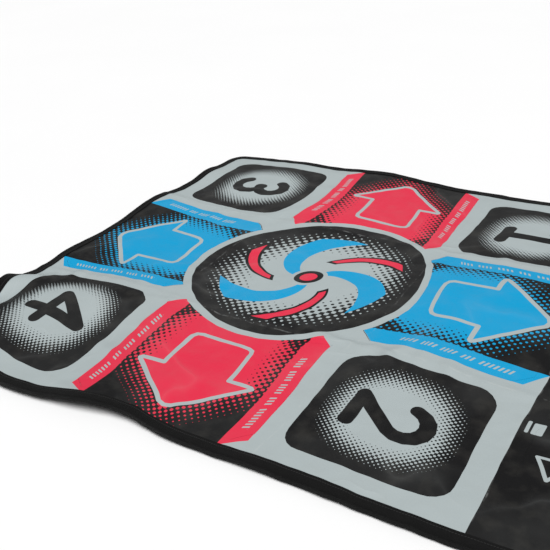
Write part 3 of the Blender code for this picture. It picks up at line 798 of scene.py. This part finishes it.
def vinyl_surface_group():
    """Make the wear, the painted sheen on folds and creases, and the fine relief that all vinyl shares.
    """
    tree, (place, ink), leave = new_group(
        "vinyl_surface", [("Place", "vector"), ("Ink", "colour")],
        [("Color", "colour"), ("Roughness", "value"), ("Height", "value")],
    )
    x, y = split(tree, place)
    clouds = noise_at(tree, place, 9.0, 3.0)
    crinkle = noise_at(tree, place, 75.0, 4.0, 0.62)
    grain = noise_at(tree, place, 1400.0, 2.0)
    # Thin random crease lines: they give relief, and in the colour they lay faint painted sheen streaks
    bends = (1 - abs(noise_at(tree, place, 9.0, 1.5, 0.4) - 0.5) * 2).power(18)
    bends = bends * ((noise_at(tree, place, 5.0) - 0.44) * 6).held()
    shift = (noise_at(tree, place, 22.0, 2.0) - 0.5) * FOLD_WANDER
    near_fold = abs(abs(x + shift) - FOLD_X)
    for line in FOLD_LINES_Y:
        near_fold = near_fold.least(abs(y + shift - line) + FOLD_LINE_OFFSET)
    # Pale lines along the folds: partly real wear, partly painted sheen where the folds catch the light
    fold_wear_and_sheen = inside(near_fold - WEAR_AND_SHEEN_HALF_WIDTH, WEAR_AND_SHEEN_SOFTNESS) * ((crinkle - 0.46) * 6).held()
    # Broad clouds fade the ink at random. On black ink this lighter clouding also stands in for cloudy
    # sheen, so it is partly painted sheen
    tint = mixed(tree, (clouds - 0.45).held() * 0.20, ink, FADED_AND_SHEEN)
    dust = ((noise_at(tree, place, 34.0, 3.0, 0.55) - 0.47) * 4).held()
    tint = mixed(tree, dust * 0.05, tint, DUST)
    # Painted sheen: faint pale streaks along the random creases stand in for their highlights
    tint = mixed(tree, bends * 0.05, tint, WEAR_AND_SHEEN)
    colour = mixed(tree, fold_wear_and_sheen * 0.20, tint, WEAR_AND_SHEEN)
    rough = 0.30 + clouds * 0.20 + crinkle * 0.08 + fold_wear_and_sheen * 0.2
    height = clouds * 1.2 + crinkle * 0.55 + grain * 0.02 + bends * 0.9
    feed(leave, Color=colour, Roughness=rough, Height=height)
    return tree


VINYL_SURFACE = vinyl_surface_group()


def new_material(name, **values):
    """Start a Principled material with uniform values on its own sockets."""
    material = bpy.data.materials.new(name)
    material.use_nodes = True
    shader = material.node_tree.nodes["Principled BSDF"]
    for label, value in values.items():
        shader.inputs[label.replace("_", " ")].default_value = value
    return material, material.node_tree, shader


def flat_place(tree):
    """Return the flat place of the mat that a point came from, as a vector."""
    node = tree.nodes.new("ShaderNodeUVMap")
    node.uv_map = "flat"
    return Field(tree, node.outputs[0])


def object_place(tree):
    """Return Object coordinates as a vector."""
    return Field(tree, tree.nodes.new("ShaderNodeTexCoord").outputs["Object"])


def relief(tree, shader, height, distance):
    """Feed a height field to a shader through a Bump node."""
    bump = tree.nodes.new("ShaderNodeBump")
    bump.inputs["Strength"].default_value = 1.0
    bump.inputs["Distance"].default_value = distance
    connect(tree, height, bump.inputs["Height"])
    tree.links.new(bump.outputs[0], shader.inputs["Normal"])


def vinyl_material(name, paint):
    """Make printed vinyl. The paint function returns its ink colour."""
    material, tree, shader = new_material(name, Specular_IOR_Level=0.25)
    place = flat_place(tree)
    x, y = split(tree, place)
    ink = paint(tree, x, y)
    colour, rough, height = placed(tree, VINYL_SURFACE, place, ink)
    feed(shader, Base_Color=colour, Roughness=rough)
    relief(tree, shader, height, VINYL_RELIEF)
    return material


# Each bar on the head band: how far from the small pads' middle, half width and start
HEAD_BARS = [(0.0396, 0.0020, 0.1972), (0.0288, 0.0062, 0.1990)]
HEAD_BAR_END = 0.2200
BAR_CORNER = 0.0019
OUTER_GROUND = 0.300
SIGN_SHIFT = 0.006
SIGN_HALF = (0.026, 0.010)
SIGN_CORNER = 0.008
SIGN_LINE = 0.0020
TRIANGLE = [(-0.016, -0.018), (0.020, 0.0), (-0.016, 0.018), (-0.016, -0.018)]
TRIANGLE_LINE = 0.0022


def ground_paint(tree, x, y):
    """Paint the pale ground, the disc, the ends of the arrows and the head band."""
    colour = Field(tree, tree.nodes.new("ShaderNodeRGB").outputs[0])
    colour.socket.default_value = PALE
    reach = radius_of(x, y)
    for out, across, ink in ((abs(x), y, PINK), (abs(y), x, BLUE)):
        side = abs(across)
        inner = inside(ARROW_ARC - reach) * inside(out - ARROW_CLIP)
        inner = inner * inside(side - out + ARROW_SHOULDER)
        outer = inside(OUTER_GROUND - out)
        arrow = inner.most(outer) * inside(side - ARROW_HALF)
        colour = mixed(tree, arrow, colour, placed(tree, ARROW_PRINT, out, across, ink)[0])
    disc, disc_mask = placed(tree, DISC_PRINT, x, y)
    colour = mixed(tree, disc_mask, colour, disc)
    return head_bars(tree, x, y, mixed(tree, inside(HEAD_LINE - y), colour, BLACK))


def arrow_paint(across_x, ink):
    """Return a paint function for the two arrow pads along one axis."""
    def paint(tree, x, y):
        out, across = (abs(x), y) if across_x else (abs(y), x)
        print_colour = placed(tree, ARROW_PRINT, out, across, ink)[0]
        return mixed(tree, inside(abs(across) - out + ARROW_SHOULDER), PALE, print_colour)
    return paint


def corner_paint(centre, number):
    """Return a paint function for a corner pad with its number."""
    def paint(tree, x, y):
        local_x, local_y = x - centre[0], y - centre[1]
        point = joined(tree, local_x, local_y)
        distance = None
        for run in NUMBERS[number]:
            near = nearest_stroke(tree, point, run)
            distance = near if distance is None else distance.least(near)
        mark = inside(distance - NUMBER_STROKE / 2)
        return placed(tree, CORNER_PRINT, local_x, local_y, mark)[0]
    return paint


def head_bars(tree, x, y, ground):
    """Paint plain pale bars on the head band, inside each small pad."""
    along = abs(y - SMALL_PAD[1])
    for middle, half_width, start in HEAD_BARS:
        dy = (abs(along - middle) - half_width + BAR_CORNER).most(0.0)
        middle_x, half_length = (HEAD_BAR_END + start) / 2, (HEAD_BAR_END - start) / 2
        dx = (abs(abs(x) - middle_x) - half_length + BAR_CORNER).most(0.0)
        bar = inside(radius_of(dx, dy) - BAR_CORNER)
        ground = mixed(tree, bar, ground, PALE)
    return ground


def select_paint(tree, x, y):
    """Paint the select pad: an outlined rounded rectangle on black."""
    across = (abs(x + SMALL_PAD[0] + SIGN_SHIFT) - SIGN_HALF[0]).most(0.0)
    along = (abs(y - SMALL_PAD[1]) - SIGN_HALF[1]).most(0.0)
    frame_line = abs(radius_of(across, along) - SIGN_CORNER) - SIGN_LINE
    return head_bars(tree, x, y, mixed(tree, inside(frame_line), BLACK, PALE))


def start_paint(tree, x, y):
    """Paint the start pad: an outlined triangle that points right, on black."""
    point = joined(tree, x - SMALL_PAD[0] - SIGN_SHIFT, y - SMALL_PAD[1])
    distance = nearest_stroke(tree, point, TRIANGLE)
    return head_bars(tree, x, y, mixed(tree, inside(distance - TRIANGLE_LINE), BLACK, PALE))


COVER_VINYL = vinyl_material("cover_vinyl", ground_paint)
BLUE_VINYL = vinyl_material("blue_arrow_vinyl", arrow_paint(False, BLUE))
PINK_VINYL = vinyl_material("pink_arrow_vinyl", arrow_paint(True, PINK))
CORNER_PADS = {
    "one": (-CORNER_PAD_CENTRE, CORNER_PAD_CENTRE),
    "two": (CORNER_PAD_CENTRE, CORNER_PAD_CENTRE),
    "three": (-CORNER_PAD_CENTRE, -CORNER_PAD_CENTRE),
    "four": (CORNER_PAD_CENTRE, -CORNER_PAD_CENTRE),
}
PAD_VINYLS = {
    "up_arrow": (BLUE_VINYL, "blue_print", "middle_panel"),
    "down_arrow": (BLUE_VINYL, "blue_print", "middle_panel"),
    "left_arrow": (PINK_VINYL, "pink_print", "left_panel"),
    "right_arrow": (PINK_VINYL, "pink_print", "right_panel"),
    "select_pad": (vinyl_material("select_vinyl", select_paint), "black_print", "left_panel"),
    "start_pad": (vinyl_material("start_vinyl", start_paint), "black_print", "right_panel"),
}
for number, centre in CORNER_PADS.items():
    material = vinyl_material(f"pad_{number}_vinyl", corner_paint(centre, number))
    panel = "left_panel" if centre[0] < 0 else "right_panel"
    PAD_VINYLS[f"{number}_pad"] = (material, "black_print", panel)
print("vinyls:", len(PAD_VINYLS), "pads")

# %% [markdown]
# Under the print lie foam, clear film with carbon tracks, and a dark grip sheet with
# small raised dots that holds the floor. The edge is bound in woven tape.

# %% Foam, film, grip sheet and tape
TRACK_PITCH = 0.024
TRACK_HALF_WIDTH = 0.0012
GRIP_PITCH = 0.0113
WEAVE_PITCH = 0.0009
RIB_PITCH = 0.0012
STITCH_X = 0.4040
STITCH_Y = 0.4540
STITCH_PITCH = 0.0032
STITCH_HALF_LENGTH = 0.0011
STITCH_HALF_WIDTH = 0.0004


def foam_material():
    """Make closed-cell foam with fine pores."""
    material, tree, shader = new_material("grey_foam", Roughness=0.92)
    place = object_place(tree)
    pores = noise_at(tree, place, 900.0, 3.0, 0.7)
    patches = noise_at(tree, place, 40.0)
    share = pores * 0.6 + patches * 0.4
    colour = mixed(tree, share, linear(62, 63, 66), linear(98, 99, 102))
    feed(shader, Base_Color=colour)
    relief(tree, shader, pores, 0.0004)
    return material


def film_material():
    """Make pale contact film with a grid of printed carbon tracks."""
    material, tree, shader = new_material("contact_film_carbon", Specular_IOR_Level=0.5)
    place = flat_place(tree)
    x, y = split(tree, place)
    tracks = inside(spaced(x, TRACK_PITCH).least(spaced(y, TRACK_PITCH)) - TRACK_HALF_WIDTH)
    colour = mixed(tree, tracks, linear(200, 203, 196), linear(48, 48, 50))
    rough = 0.34 + tracks * 0.35 + noise_at(tree, place, 30.0) * 0.08
    feed(shader, Base_Color=colour, Roughness=rough)
    relief(tree, shader, tracks, 0.00005)
    return material


def grip_material():
    """Make the dark underside with staggered grip dots."""
    material, tree, shader = new_material("grip_sheet", Specular_IOR_Level=0.35)
    place = flat_place(tree)
    x, y = split(tree, place)
    wave, weave = crossed(x, y, GRIP_PITCH), crossed(x, y, WEAVE_PITCH)
    dots = sums(tree, "MULTIPLY_ADD", wave - 0.62, 5.0, 0.5, clamp=True)
    dust = noise_at(tree, place, 25.0, 4.0, 0.6)
    colour = mixed(tree, (dust - 0.4).held(), linear(34, 34, 36), linear(78, 76, 72))
    colour = mixed(tree, dots, colour, linear(22, 22, 23))
    rough = 0.80 - dots * 0.35 + dust * 0.1
    feed(shader, Base_Color=colour, Roughness=rough)
    relief(tree, shader, dots + weave * 0.06, 0.0004)
    return material


def tape_material():
    """Make black woven binding tape with a ribbed weave and a little lint."""
    material, tree, shader = new_material(
        "binding_weave", Specular_IOR_Level=0.16, Sheen_Weight=0.03, Sheen_Roughness=0.5
    )
    place = flat_place(tree)
    x, y = split(tree, place)
    ribs = crossed(x + y, x - y, RIB_PITCH)
    lint = noise_at(tree, place, 120.0, 4.0, 0.65)
    # A row of stitches runs inside the tape's edge, on all four sides
    row_x = abs(abs(x) - STITCH_X) - STITCH_HALF_WIDTH
    row_y = abs(abs(y - (HEAD_Y + FOOT_Y) / 2) - STITCH_Y) - STITCH_HALF_WIDTH
    dash_x, dash_y = (spaced(along, STITCH_PITCH) - STITCH_HALF_LENGTH for along in (y, x))
    stitch = inside(row_x.most(dash_x), 0.0002).most(inside(row_y.most(dash_y), 0.0002))
    colour = mixed(tree, (lint - 0.45).held() * 0.6, linear(9, 9, 9), linear(34, 34, 34))
    colour = mixed(tree, stitch, colour, linear(46, 46, 46))
    rough = 0.72 + lint * 0.2 - stitch * 0.2
    feed(shader, Base_Color=colour, Roughness=rough)
    relief(tree, shader, ribs * 0.5 + lint + stitch * 2.5, 0.00025)
    return material


FOAM = foam_material()
FILM = film_material()
GRIP = grip_material()
TAPE = tape_material()
print("materials of the layers:", FOAM.name, FILM.name, GRIP.name, TAPE.name)

# %% [markdown]
# Now the layers. Side and middle solids stop short of the fold lines by the width of a
# crease strip, because that strip has to bend when a side panel folds over.

# %% Layers of each column
COLUMNS = {"left": "left_panel", "middle": "middle_panel", "right": "right_panel"}
LAYERS = [
    ("base_sheet", GRIP, "base_sheet", FINE_CELL * 2),
    ("base_foam", FOAM, "foam", COARSE_CELL),
    ("lower_contact", FILM, "contact_film", COARSE_CELL),
    ("frame_foam", FOAM, "foam", COARSE_CELL),
    ("cover", COVER_VINYL, "cover_print", FINE_CELL),
]


def without_creases(shape, column):
    """Trim a column's solid back from its fold lines."""
    if column == "left":
        return clipped(shape, -FOLD_X - CREASE_HALF, False)
    if column == "right":
        return clipped(shape, FOLD_X + CREASE_HALF, True)
    return clipped(clipped(shape, -FOLD_X + CREASE_HALF, True), FOLD_X - CREASE_HALF, False)


def seated(piece, body, slot, *nodes):
    """Give a piece its body and hide the solids that it stands for. The slot is not used."""
    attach(piece, body)
    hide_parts(*nodes)
    return piece


for layer, material, slot, cell in LAYERS:
    for column, body in COLUMNS.items():
        node = f"{layer}_{column}"
        shape = sliced(without_creases(copied(node), column), cell)
        piece = laid_piece(f"{layer}_{column}_laid", shape, material)
        seated(piece, body, slot, node)
    print(layer, "laid in three columns,", len(piece.data.polygons), "faces in the last")

# %% [markdown]
# The pads are separate printed skins over their own contact film and holed foam. Each
# skin grows by a fraction of a millimetre to meet the cover, because the real print
# runs across one sheet. The foam under a pad is drawn at its pressed thickness, so that a
# pad can go down without passing through it.

# %% Pads
SKIN_GROWTH = 0.00042
SPACER_PRESSED = 0.0008

for pad, (material, slot, panel) in PAD_VINYLS.items():
    switch = f"{pad}_switch"
    skin = laid_piece(
        f"{pad}_skin_laid", sliced(grown(copied(f"{pad}_skin"), SKIN_GROWTH), FINE_CELL), material
    )
    seated(skin, switch, slot, f"{pad}_skin")
    contact = laid_piece(f"{pad}_contact_laid", sliced(copied(f"{pad}_contact"), COARSE_CELL), FILM)
    seated(contact, switch, "contact_film", f"{pad}_contact")
    shape = copied(f"{pad}_spacer")
    foot = min(point.co.z for point in shape.verts)
    for point in shape.verts:
        point.co.z = min(point.co.z, foot + SPACER_PRESSED)
    spacer = laid_piece(f"{pad}_spacer_laid", sliced(shape, COARSE_CELL), FOAM)
    seated(spacer, panel, "foam", f"{pad}_spacer")
print("pads laid:", len(PAD_VINYLS))

# %% [markdown]
# A tape is folded over the edge all round. Its outer edges are rounded by a bevel before
# it is sliced, since a folded tape has no sharp corner.

# %% Edge binding
TAPE_ROUND = 0.0018
TAPE_EDGE_REACH = 0.0012
TAPE_CELL = FINE_CELL * 1.5


def outline_distance(x, y):
    """Return the distance inwards from the mat's rounded outline."""
    middle_y = (FOOT_Y + HEAD_Y) / 2
    across = abs(x) - (HALF_WIDTH - MAT_CORNER)
    along = abs(y - middle_y) - ((HEAD_Y - FOOT_Y) / 2 - MAT_CORNER)
    outer = math.hypot(max(across, 0), max(along, 0)) + min(max(across, along), 0)
    return MAT_CORNER - outer


def rounded_tape(shape):
    """Bevel the long outer edges of a binding solid."""
    top = max(point.co.z for point in shape.verts)
    edges = [
        edge for edge in shape.edges
        if all(
            abs(outline_distance(*p.co.xy)) < TAPE_EDGE_REACH
            and (p.co.z > top - MERGE or p.co.z < MERGE)
            for p in edge.verts
        )
        and abs(edge.verts[0].co.z - edge.verts[1].co.z) < MERGE
        and edge.calc_length() > TAPE_EDGE_REACH
        and len({round(abs(face.normal.z)) for face in edge.link_faces}) == 2
    ]
    return bevelled(shape, edges, TAPE_ROUND)


for edge_name, column in (("left", "left"), ("right", "right"), ("foot", "middle"), ("head", "middle")):
    node = f"binding_{edge_name}"
    shape = rounded_tape(without_creases(copied(node), column))
    piece = laid_piece(f"{node}_tape", sliced(shape, TAPE_CELL), TAPE)
    seated(piece, COLUMNS[column], "binding", node)
print("binding taped on four sides")

# %% [markdown]
# Each crease strip is cut from the end of a middle solid and stretched across the fold
# line, because every layer has the same section there. The pushes in the plane move a
# strip's edges too, so they wave in X. All bending therefore happens between the two
# waving edges, where only the strip is, and the slices are narrow there because that part
# bends most.

# %% Crease strips
CREASE_LAYERS = [
    ("base_sheet_middle", "base_sheet", GRIP),
    ("base_foam_middle", "foam", FOAM),
    ("lower_contact_middle", "contact_film", FILM),
    ("frame_foam_middle", "foam", FOAM),
    ("cover_middle", "cover_print", COVER_VINYL),
    ("binding_foot", "binding", TAPE),
    ("binding_head", "binding", TAPE),
]
CREASE_CELL = 0.002
BEND_CELL = 0.0006
BEND_SAMPLES = 400
# Narrow slices start this far before the bend and end this far after it
FINE_BEFORE, FINE_AFTER = 0.010, 0.006
STRIP_NEAR, STRIP_FAR = FOLD_X - CREASE_HALF, FOLD_X + CREASE_HALF


def bend_range(side):
    """Return where bending starts and ends between the waving edges of a strip."""
    along = np.linspace(FOOT_Y, HEAD_Y, BEND_SAMPLES)
    near, far = (
        side * (side * x + lie(np.full(BEND_SAMPLES, side * x), along)[0])
        for x in (STRIP_NEAR, STRIP_FAR)
    )
    return float(near.max()), float(far.min())


BENDS = {side: bend_range(side) for side in (-1, 1)}
for side, bend in BENDS.items():
    print("bending between", [round(side * x * 1000, 1) for x in bend], "mm")


def strip_slices(side, bend_cell):
    """Return where a strip is sliced: evenly, and more narrowly where it bends."""
    places = set(np.arange(STRIP_NEAR + CREASE_CELL, STRIP_FAR - MERGE, CREASE_CELL).round(6))
    start, end = BENDS[side]
    fine = np.arange(start - FINE_BEFORE, end + FINE_AFTER, bend_cell).round(6)
    return sorted(places | {x for x in fine if STRIP_NEAR + MERGE < x < STRIP_FAR - MERGE})


def crease_strip(node, side):
    """Cut a strip from a middle solid and stretch it over a fold line."""
    shape = copied(node)
    outermost = node == "base_sheet_middle"
    if node.startswith("binding"):
        rounded_tape(shape)
        outermost = True
    clipped(shape, side * STRIP_NEAR, side > 0)
    end = max(abs(point.co.x) for point in shape.verts)
    stretch = 2 * CREASE_HALF / (end - STRIP_NEAR)
    for point in shape.verts:
        point.co.x = side * (STRIP_NEAR + (abs(point.co.x) - STRIP_NEAR) * stretch)
    for x in strip_slices(side, BEND_CELL if outermost else BEND_CELL * 2):
        cut_at(shape, 0, side * x)
    return sliced(shape, FINE_CELL if node == "cover_middle" else COARSE_CELL, axes=(1,))


for side_name, side in (("left", -1), ("right", 1)):
    for node, slot, material in CREASE_LAYERS:
        piece = laid_piece(
            f"{side_name}_crease_{node.replace('_middle', '')}", crease_strip(node, side), material
        )
        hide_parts(node)
        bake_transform(piece)
    print(side_name, "crease strips:", len(CREASE_LAYERS))

# %% [markdown]
# The control box is two moulded shells under the head end's edge, held by two rivets
# through the tape and two screws from below. Moulded plastic has small round edges, so the
# outer edges of each shell are bevelled, and the lid gets a shallow recessed panel.

# %% Control box shells
BOX_HALF = 0.048
BOX_NEAR, BOX_FAR, BOX_TOP = 0.5153, 0.5613, 0.0195
SHELL_SKIN = 0.0017
EDGE_ROUND = 0.0007
PANEL_MARGIN = 0.0050
PANEL_STEP = 0.0006
FLAT_TOP = 0.0002
LEVEL = 0.99
SHELL_CORNER_ANGLE = 20


def plastic_material():
    """Make black moulded plastic with a spark-eroded grain and light handling wear."""
    material, tree, shader = new_material("moulded_plastic", Specular_IOR_Level=0.45)
    place = object_place(tree)
    grain = noise_at(tree, place, 2600.0, 2.0, 0.6)
    smears = noise_at(tree, place, 60.0, 4.0, 0.6)
    scuffs = (noise_at(tree, place, 420.0, 3.0, 0.7) - 0.60).held() * 2.2
    colour = mixed(tree, smears * 0.5, linear(26, 26, 27), linear(40, 40, 41))
    colour = mixed(tree, scuffs, colour, linear(92, 92, 92))
    rough = 0.42 + smears * 0.22 + scuffs * 0.2
    feed(shader, Base_Color=colour, Roughness=rough)
    relief(tree, shader, grain + scuffs * 0.3, 0.00012)
    return material


def on_outside(point):
    """Tell whether a point of a box shell lies on its outer skin."""
    return (
        abs(point.x) > BOX_HALF - SHELL_SKIN or point.y < BOX_NEAR + SHELL_SKIN
        or point.y > BOX_FAR - SHELL_SKIN or point.z > BOX_TOP - SHELL_SKIN or point.z < SHELL_SKIN
    )


def rounded_shell(shape, size):
    """Bevel the convex outer edges of a shell."""
    edges = [
        edge for edge in shape.edges
        if len(edge.link_faces) == 2 and edge.is_convex
        and edge.calc_face_angle(0.0) > math.radians(SHELL_CORNER_ANGLE)
        and edge.calc_length() > 3 * size
        and all(on_outside(point.co) for point in edge.verts)
    ]
    return bevelled(shape, edges, size, clamp_overlap=True)


def with_panel(shape):
    """Sink a shallow panel into the lid."""
    tops = [
        face for face in shape.faces
        if face.normal.z > LEVEL and face.calc_center_median().z > BOX_TOP - FLAT_TOP
    ]
    lid = max(tops, key=lambda face: face.calc_area())
    bmesh.ops.inset_region(shape, faces=[lid], thickness=PANEL_MARGIN, use_even_offset=True)
    bmesh.ops.inset_region(
        shape, faces=[lid], thickness=PANEL_STEP, depth=-PANEL_STEP, use_even_offset=True
    )
    return shape


PLASTIC = plastic_material()
for half in ("upper", "lower"):
    shape = rounded_shell(copied(f"box_{half}_shell"), EDGE_ROUND)
    if half == "upper":
        with_panel(shape)
    shell = linked(f"box_{half}_shell_moulded", shape, PLASTIC)
    seated(shell, "middle_panel", "box_plastic", f"box_{half}_shell")
    print("shell", half, len(shell.data.polygons), "faces")

# %% [markdown]
# Rivets and screws are turned metal, with rounded rims. The screws' cross recess is a
# few tenths of a millimetre wide, so it is cut in the material's relief, and the shade in
# it is painted dark into the colour.

# %% Rivets and screws
RIM_ROUND = 0.00045
RIM_ANGLE = 60
METAL_PARTS = ("box_rivet_left", "box_rivet_right", "box_screw_left", "box_screw_right")
TURNING_PITCH = 0.00022
SCREW_AT = (0.0400, 0.5533)
CROSS_HALF_WIDTH = 0.00032
CROSS_REACH = 0.0013


def metal_material():
    """Make zinc-plated metal with turned rings, stains, and a cross recess on the screws with painted
    shade in it.
    """
    material, tree, shader = new_material("zinc_plate", Metallic=1.0)
    place = object_place(tree)
    x, y = split(tree, place)
    stains = noise_at(tree, place, 500.0, 4.0, 0.6)
    off_x, off_y = abs(abs(x) - SCREW_AT[0]), abs(y - SCREW_AT[1])
    arms = inside(off_x.least(off_y) - CROSS_HALF_WIDTH, 0.0001)
    cross = arms * inside(off_x.most(off_y) - CROSS_REACH, 0.0001)
    rings = (radius_of(off_x, off_y) / TURNING_PITCH * math.tau).wave()
    colour = mixed(tree, stains, linear(196, 195, 188), linear(150, 150, 148))
    # Painted shade: the cross recess is coloured dark where its shade would fall
    colour = mixed(tree, cross, colour, linear(40, 40, 40))
    rough = 0.24 + stains * 0.25 + cross * 0.3
    feed(shader, Base_Color=colour, Roughness=rough)
    relief(tree, shader, rings * 0.06 + stains * 0.2 - cross * 3.0, 0.0001)
    return material


METAL = metal_material()
for node in METAL_PARTS:
    shape = copied(node)
    rims = [
        edge for edge in shape.edges
        if edge.is_convex and edge.calc_face_angle(0.0) > math.radians(RIM_ANGLE)
        and max(point.co.z for point in edge.verts) - min(point.co.z for point in edge.verts) < MERGE
    ]
    bevelled(shape, rims, RIM_ROUND, clamp_overlap=True)
    turned = linked(f"{node}_turned", shape, METAL)
    seated(turned, "middle_panel", "fastener", node)
print("metal parts turned:", len(METAL_PARTS))

# %% [markdown]
# The parts inside the box keep the shape of their solids. They get finishes of their own:
# a green board with copper tracks, moulded epoxy, nylon and rubber.

# %% Finishes inside the box
BOARD_TRACK_PITCH = 0.0026
BOARD_TRACK_HALF_WIDTH = 0.0005
BOARD_TRACK_STEP = 0.002
HOLE_PITCH = 0.00508
HOLE_PAD_RADIUS = 0.0008
RING_PITCH = 0.0011
PRINT_SOFTNESS = 0.0001


def board_material():
    """Make green solder mask over tracks, with tinned holes."""
    material, tree, shader = new_material("circuit_board_mask", Specular_IOR_Level=0.5)
    place = object_place(tree)
    x, y = split(tree, place)
    step = (noise_at(tree, place, 90.0) * 6).part()
    track = spaced(x + step * BOARD_TRACK_STEP, BOARD_TRACK_PITCH) - BOARD_TRACK_HALF_WIDTH
    track = inside(track, PRINT_SOFTNESS)
    hole = radius_of(spaced(x, HOLE_PITCH), spaced(y, HOLE_PITCH))
    pads = inside(hole - HOLE_PAD_RADIUS, PRINT_SOFTNESS)
    colour = mixed(tree, track, linear(22, 92, 48), linear(44, 128, 66))
    colour = mixed(tree, pads, colour, linear(200, 198, 190))
    rough = 0.36 - pads * 0.1 + noise_at(tree, place, 200.0) * 0.1
    feed(shader, Base_Color=colour, Metallic=pads, Roughness=rough)
    relief(tree, shader, track + pads * 1.5, 0.00004)
    return material


def striped_material(name, under, over, pitch, share, rough, depth):
    """Make a moulding or film with stripes along Y, such as contacts or tracks."""
    material, tree, shader = new_material(name, Specular_IOR_Level=0.4)
    place = object_place(tree)
    x, _ = split(tree, place)
    stripe = inside(spaced(x, pitch) - pitch * share / 2, PRINT_SOFTNESS)
    cloud = noise_at(tree, place, 300.0, 3.0)
    colour = mixed(tree, stripe, mixed(tree, cloud * 0.3, under, over), over)
    feed(shader, Base_Color=colour, Roughness=rough + cloud * 0.15)
    relief(tree, shader, cloud * 0.3 - stripe, depth)
    return material


def rubber_material():
    """Make soft black rubber with fine mould rings along its length."""
    material, tree, shader = new_material("gland_rubber", Specular_IOR_Level=0.35)
    place = object_place(tree)
    _, y = split(tree, place)
    rings = (y / RING_PITCH * math.tau).wave()
    bloom = noise_at(tree, place, 350.0, 4.0, 0.6)
    colour = mixed(tree, bloom * 0.6, linear(22, 22, 22), linear(52, 51, 50))
    feed(shader, Base_Color=colour, Roughness=0.6 + bloom * 0.25)
    relief(tree, shader, rings * 0.6 + bloom, 0.0001)
    return material


INNER_FINISHES = {
    "circuit_board": board_material(),
    "controller_chip": striped_material(
        "chip_epoxy", linear(24, 24, 25), linear(40, 40, 41), 0.0024, 0.12, 0.5, 0.00003
    ),
    "flat_tail": striped_material(
        "tail_film", linear(206, 208, 200), linear(52, 52, 54), 0.0034, 0.45, 0.35, 0.00002
    ),
    "tail_connector": striped_material(
        "connector_nylon", linear(224, 221, 206), linear(150, 147, 132), 0.0034, 0.25, 0.45, 0.0002
    ),
    "cable_gland": rubber_material(),
}
for node, finish in INNER_FINISHES.items():
    NODES[node].material_slots[0].material = finish
print("finishes inside the box:", ", ".join(INNER_FINISHES))

RESTING = [
    ("cover", "frame_foam"), ("lower_contact", "base_foam"), ("skin", "contact"), ("contact", "spacer"),
]


def bottom_of(name):
    """Return the piece that a sheet rests on."""
    for above, below in RESTING:
        if above in name and name.replace(above, below) in bpy.data.objects:
            return [name.replace(above, below)]
    return []


for name, (width, length, area) in FLAT_SIZES.items():
    piece = bpy.data.objects[name]
    if "foam" in name or "spacer" in name:
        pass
    elif "binding" not in name:
        bottom_of(name)
print("sheets and foam layers declared:", len(FLAT_SIZES))

# %% [markdown]
# The floor is plain and pale, and the light is a studio's: a broad soft source overhead
# and behind, a fill from the camera's side, and a pale surround.

# %% Floor and light
def floor_material():
    """Make a plain pale floor."""
    material, tree, shader = new_material("studio_floor", Roughness=0.9)
    place = object_place(tree)
    colour = mixed(tree, noise_at(tree, place, 3.0), (0.93, 0.93, 0.93, 1), (0.95, 0.95, 0.95, 1))
    feed(shader, Base_Color=colour)
    return material


FLOOR_Z = -0.0004
FLOOR_SIZE = 12
WHITE = (1.0, 1.0, 1.0, 1.0)
FILL_STRENGTH = 0.20
floor_shape = bmesh.new()
bmesh.ops.create_grid(
    floor_shape, x_segments=2, y_segments=2, size=FLOOR_SIZE, matrix=Matrix.Translation((0, 0, FLOOR_Z))
)
floor = linked("studio_floor", floor_shape, floor_material())


def soft_sun(name, turn, height, spread, strength):
    """Place a distant light with a broad disc, by its compass turn and height in degrees."""
    data = bpy.data.lights.new(name, "SUN")
    data.angle = math.radians(spread)
    data.energy = strength
    light = bpy.data.objects.new(name, data)
    light.rotation_euler = (math.radians(90 - height), 0, math.radians(turn))
    bpy.context.scene.collection.objects.link(light)
    return light


soft_sun("overhead_light", turn=120, height=72, spread=55, strength=2.88)
soft_sun("sheen_light", turn=-60, height=24, spread=20, strength=0.04)
world = bpy.data.worlds.new("pale_surround")
world.use_nodes = True
surround = world.node_tree
fill = surround.nodes["Background"]
fill.inputs["Color"].default_value = WHITE
fill.inputs["Strength"].default_value = FILL_STRENGTH
# The lens sees a white studio wall beyond the floor, while the fill light stays low
wall = surround.nodes.new("ShaderNodeBackground")
wall.inputs["Color"].default_value = WHITE
either = surround.nodes.new("ShaderNodeMixShader")
rays = surround.nodes.new("ShaderNodeLightPath")
for place, output in enumerate((rays.outputs["Is Camera Ray"], fill.outputs[0], wall.outputs[0])):
    surround.links.new(output, either.inputs[place])
surround.links.new(either.outputs[0], surround.nodes["World Output"].inputs["Surface"])
bpy.context.scene.view_settings.view_transform = "Standard"
bpy.context.scene.world = world
print("lights and floor are in place")
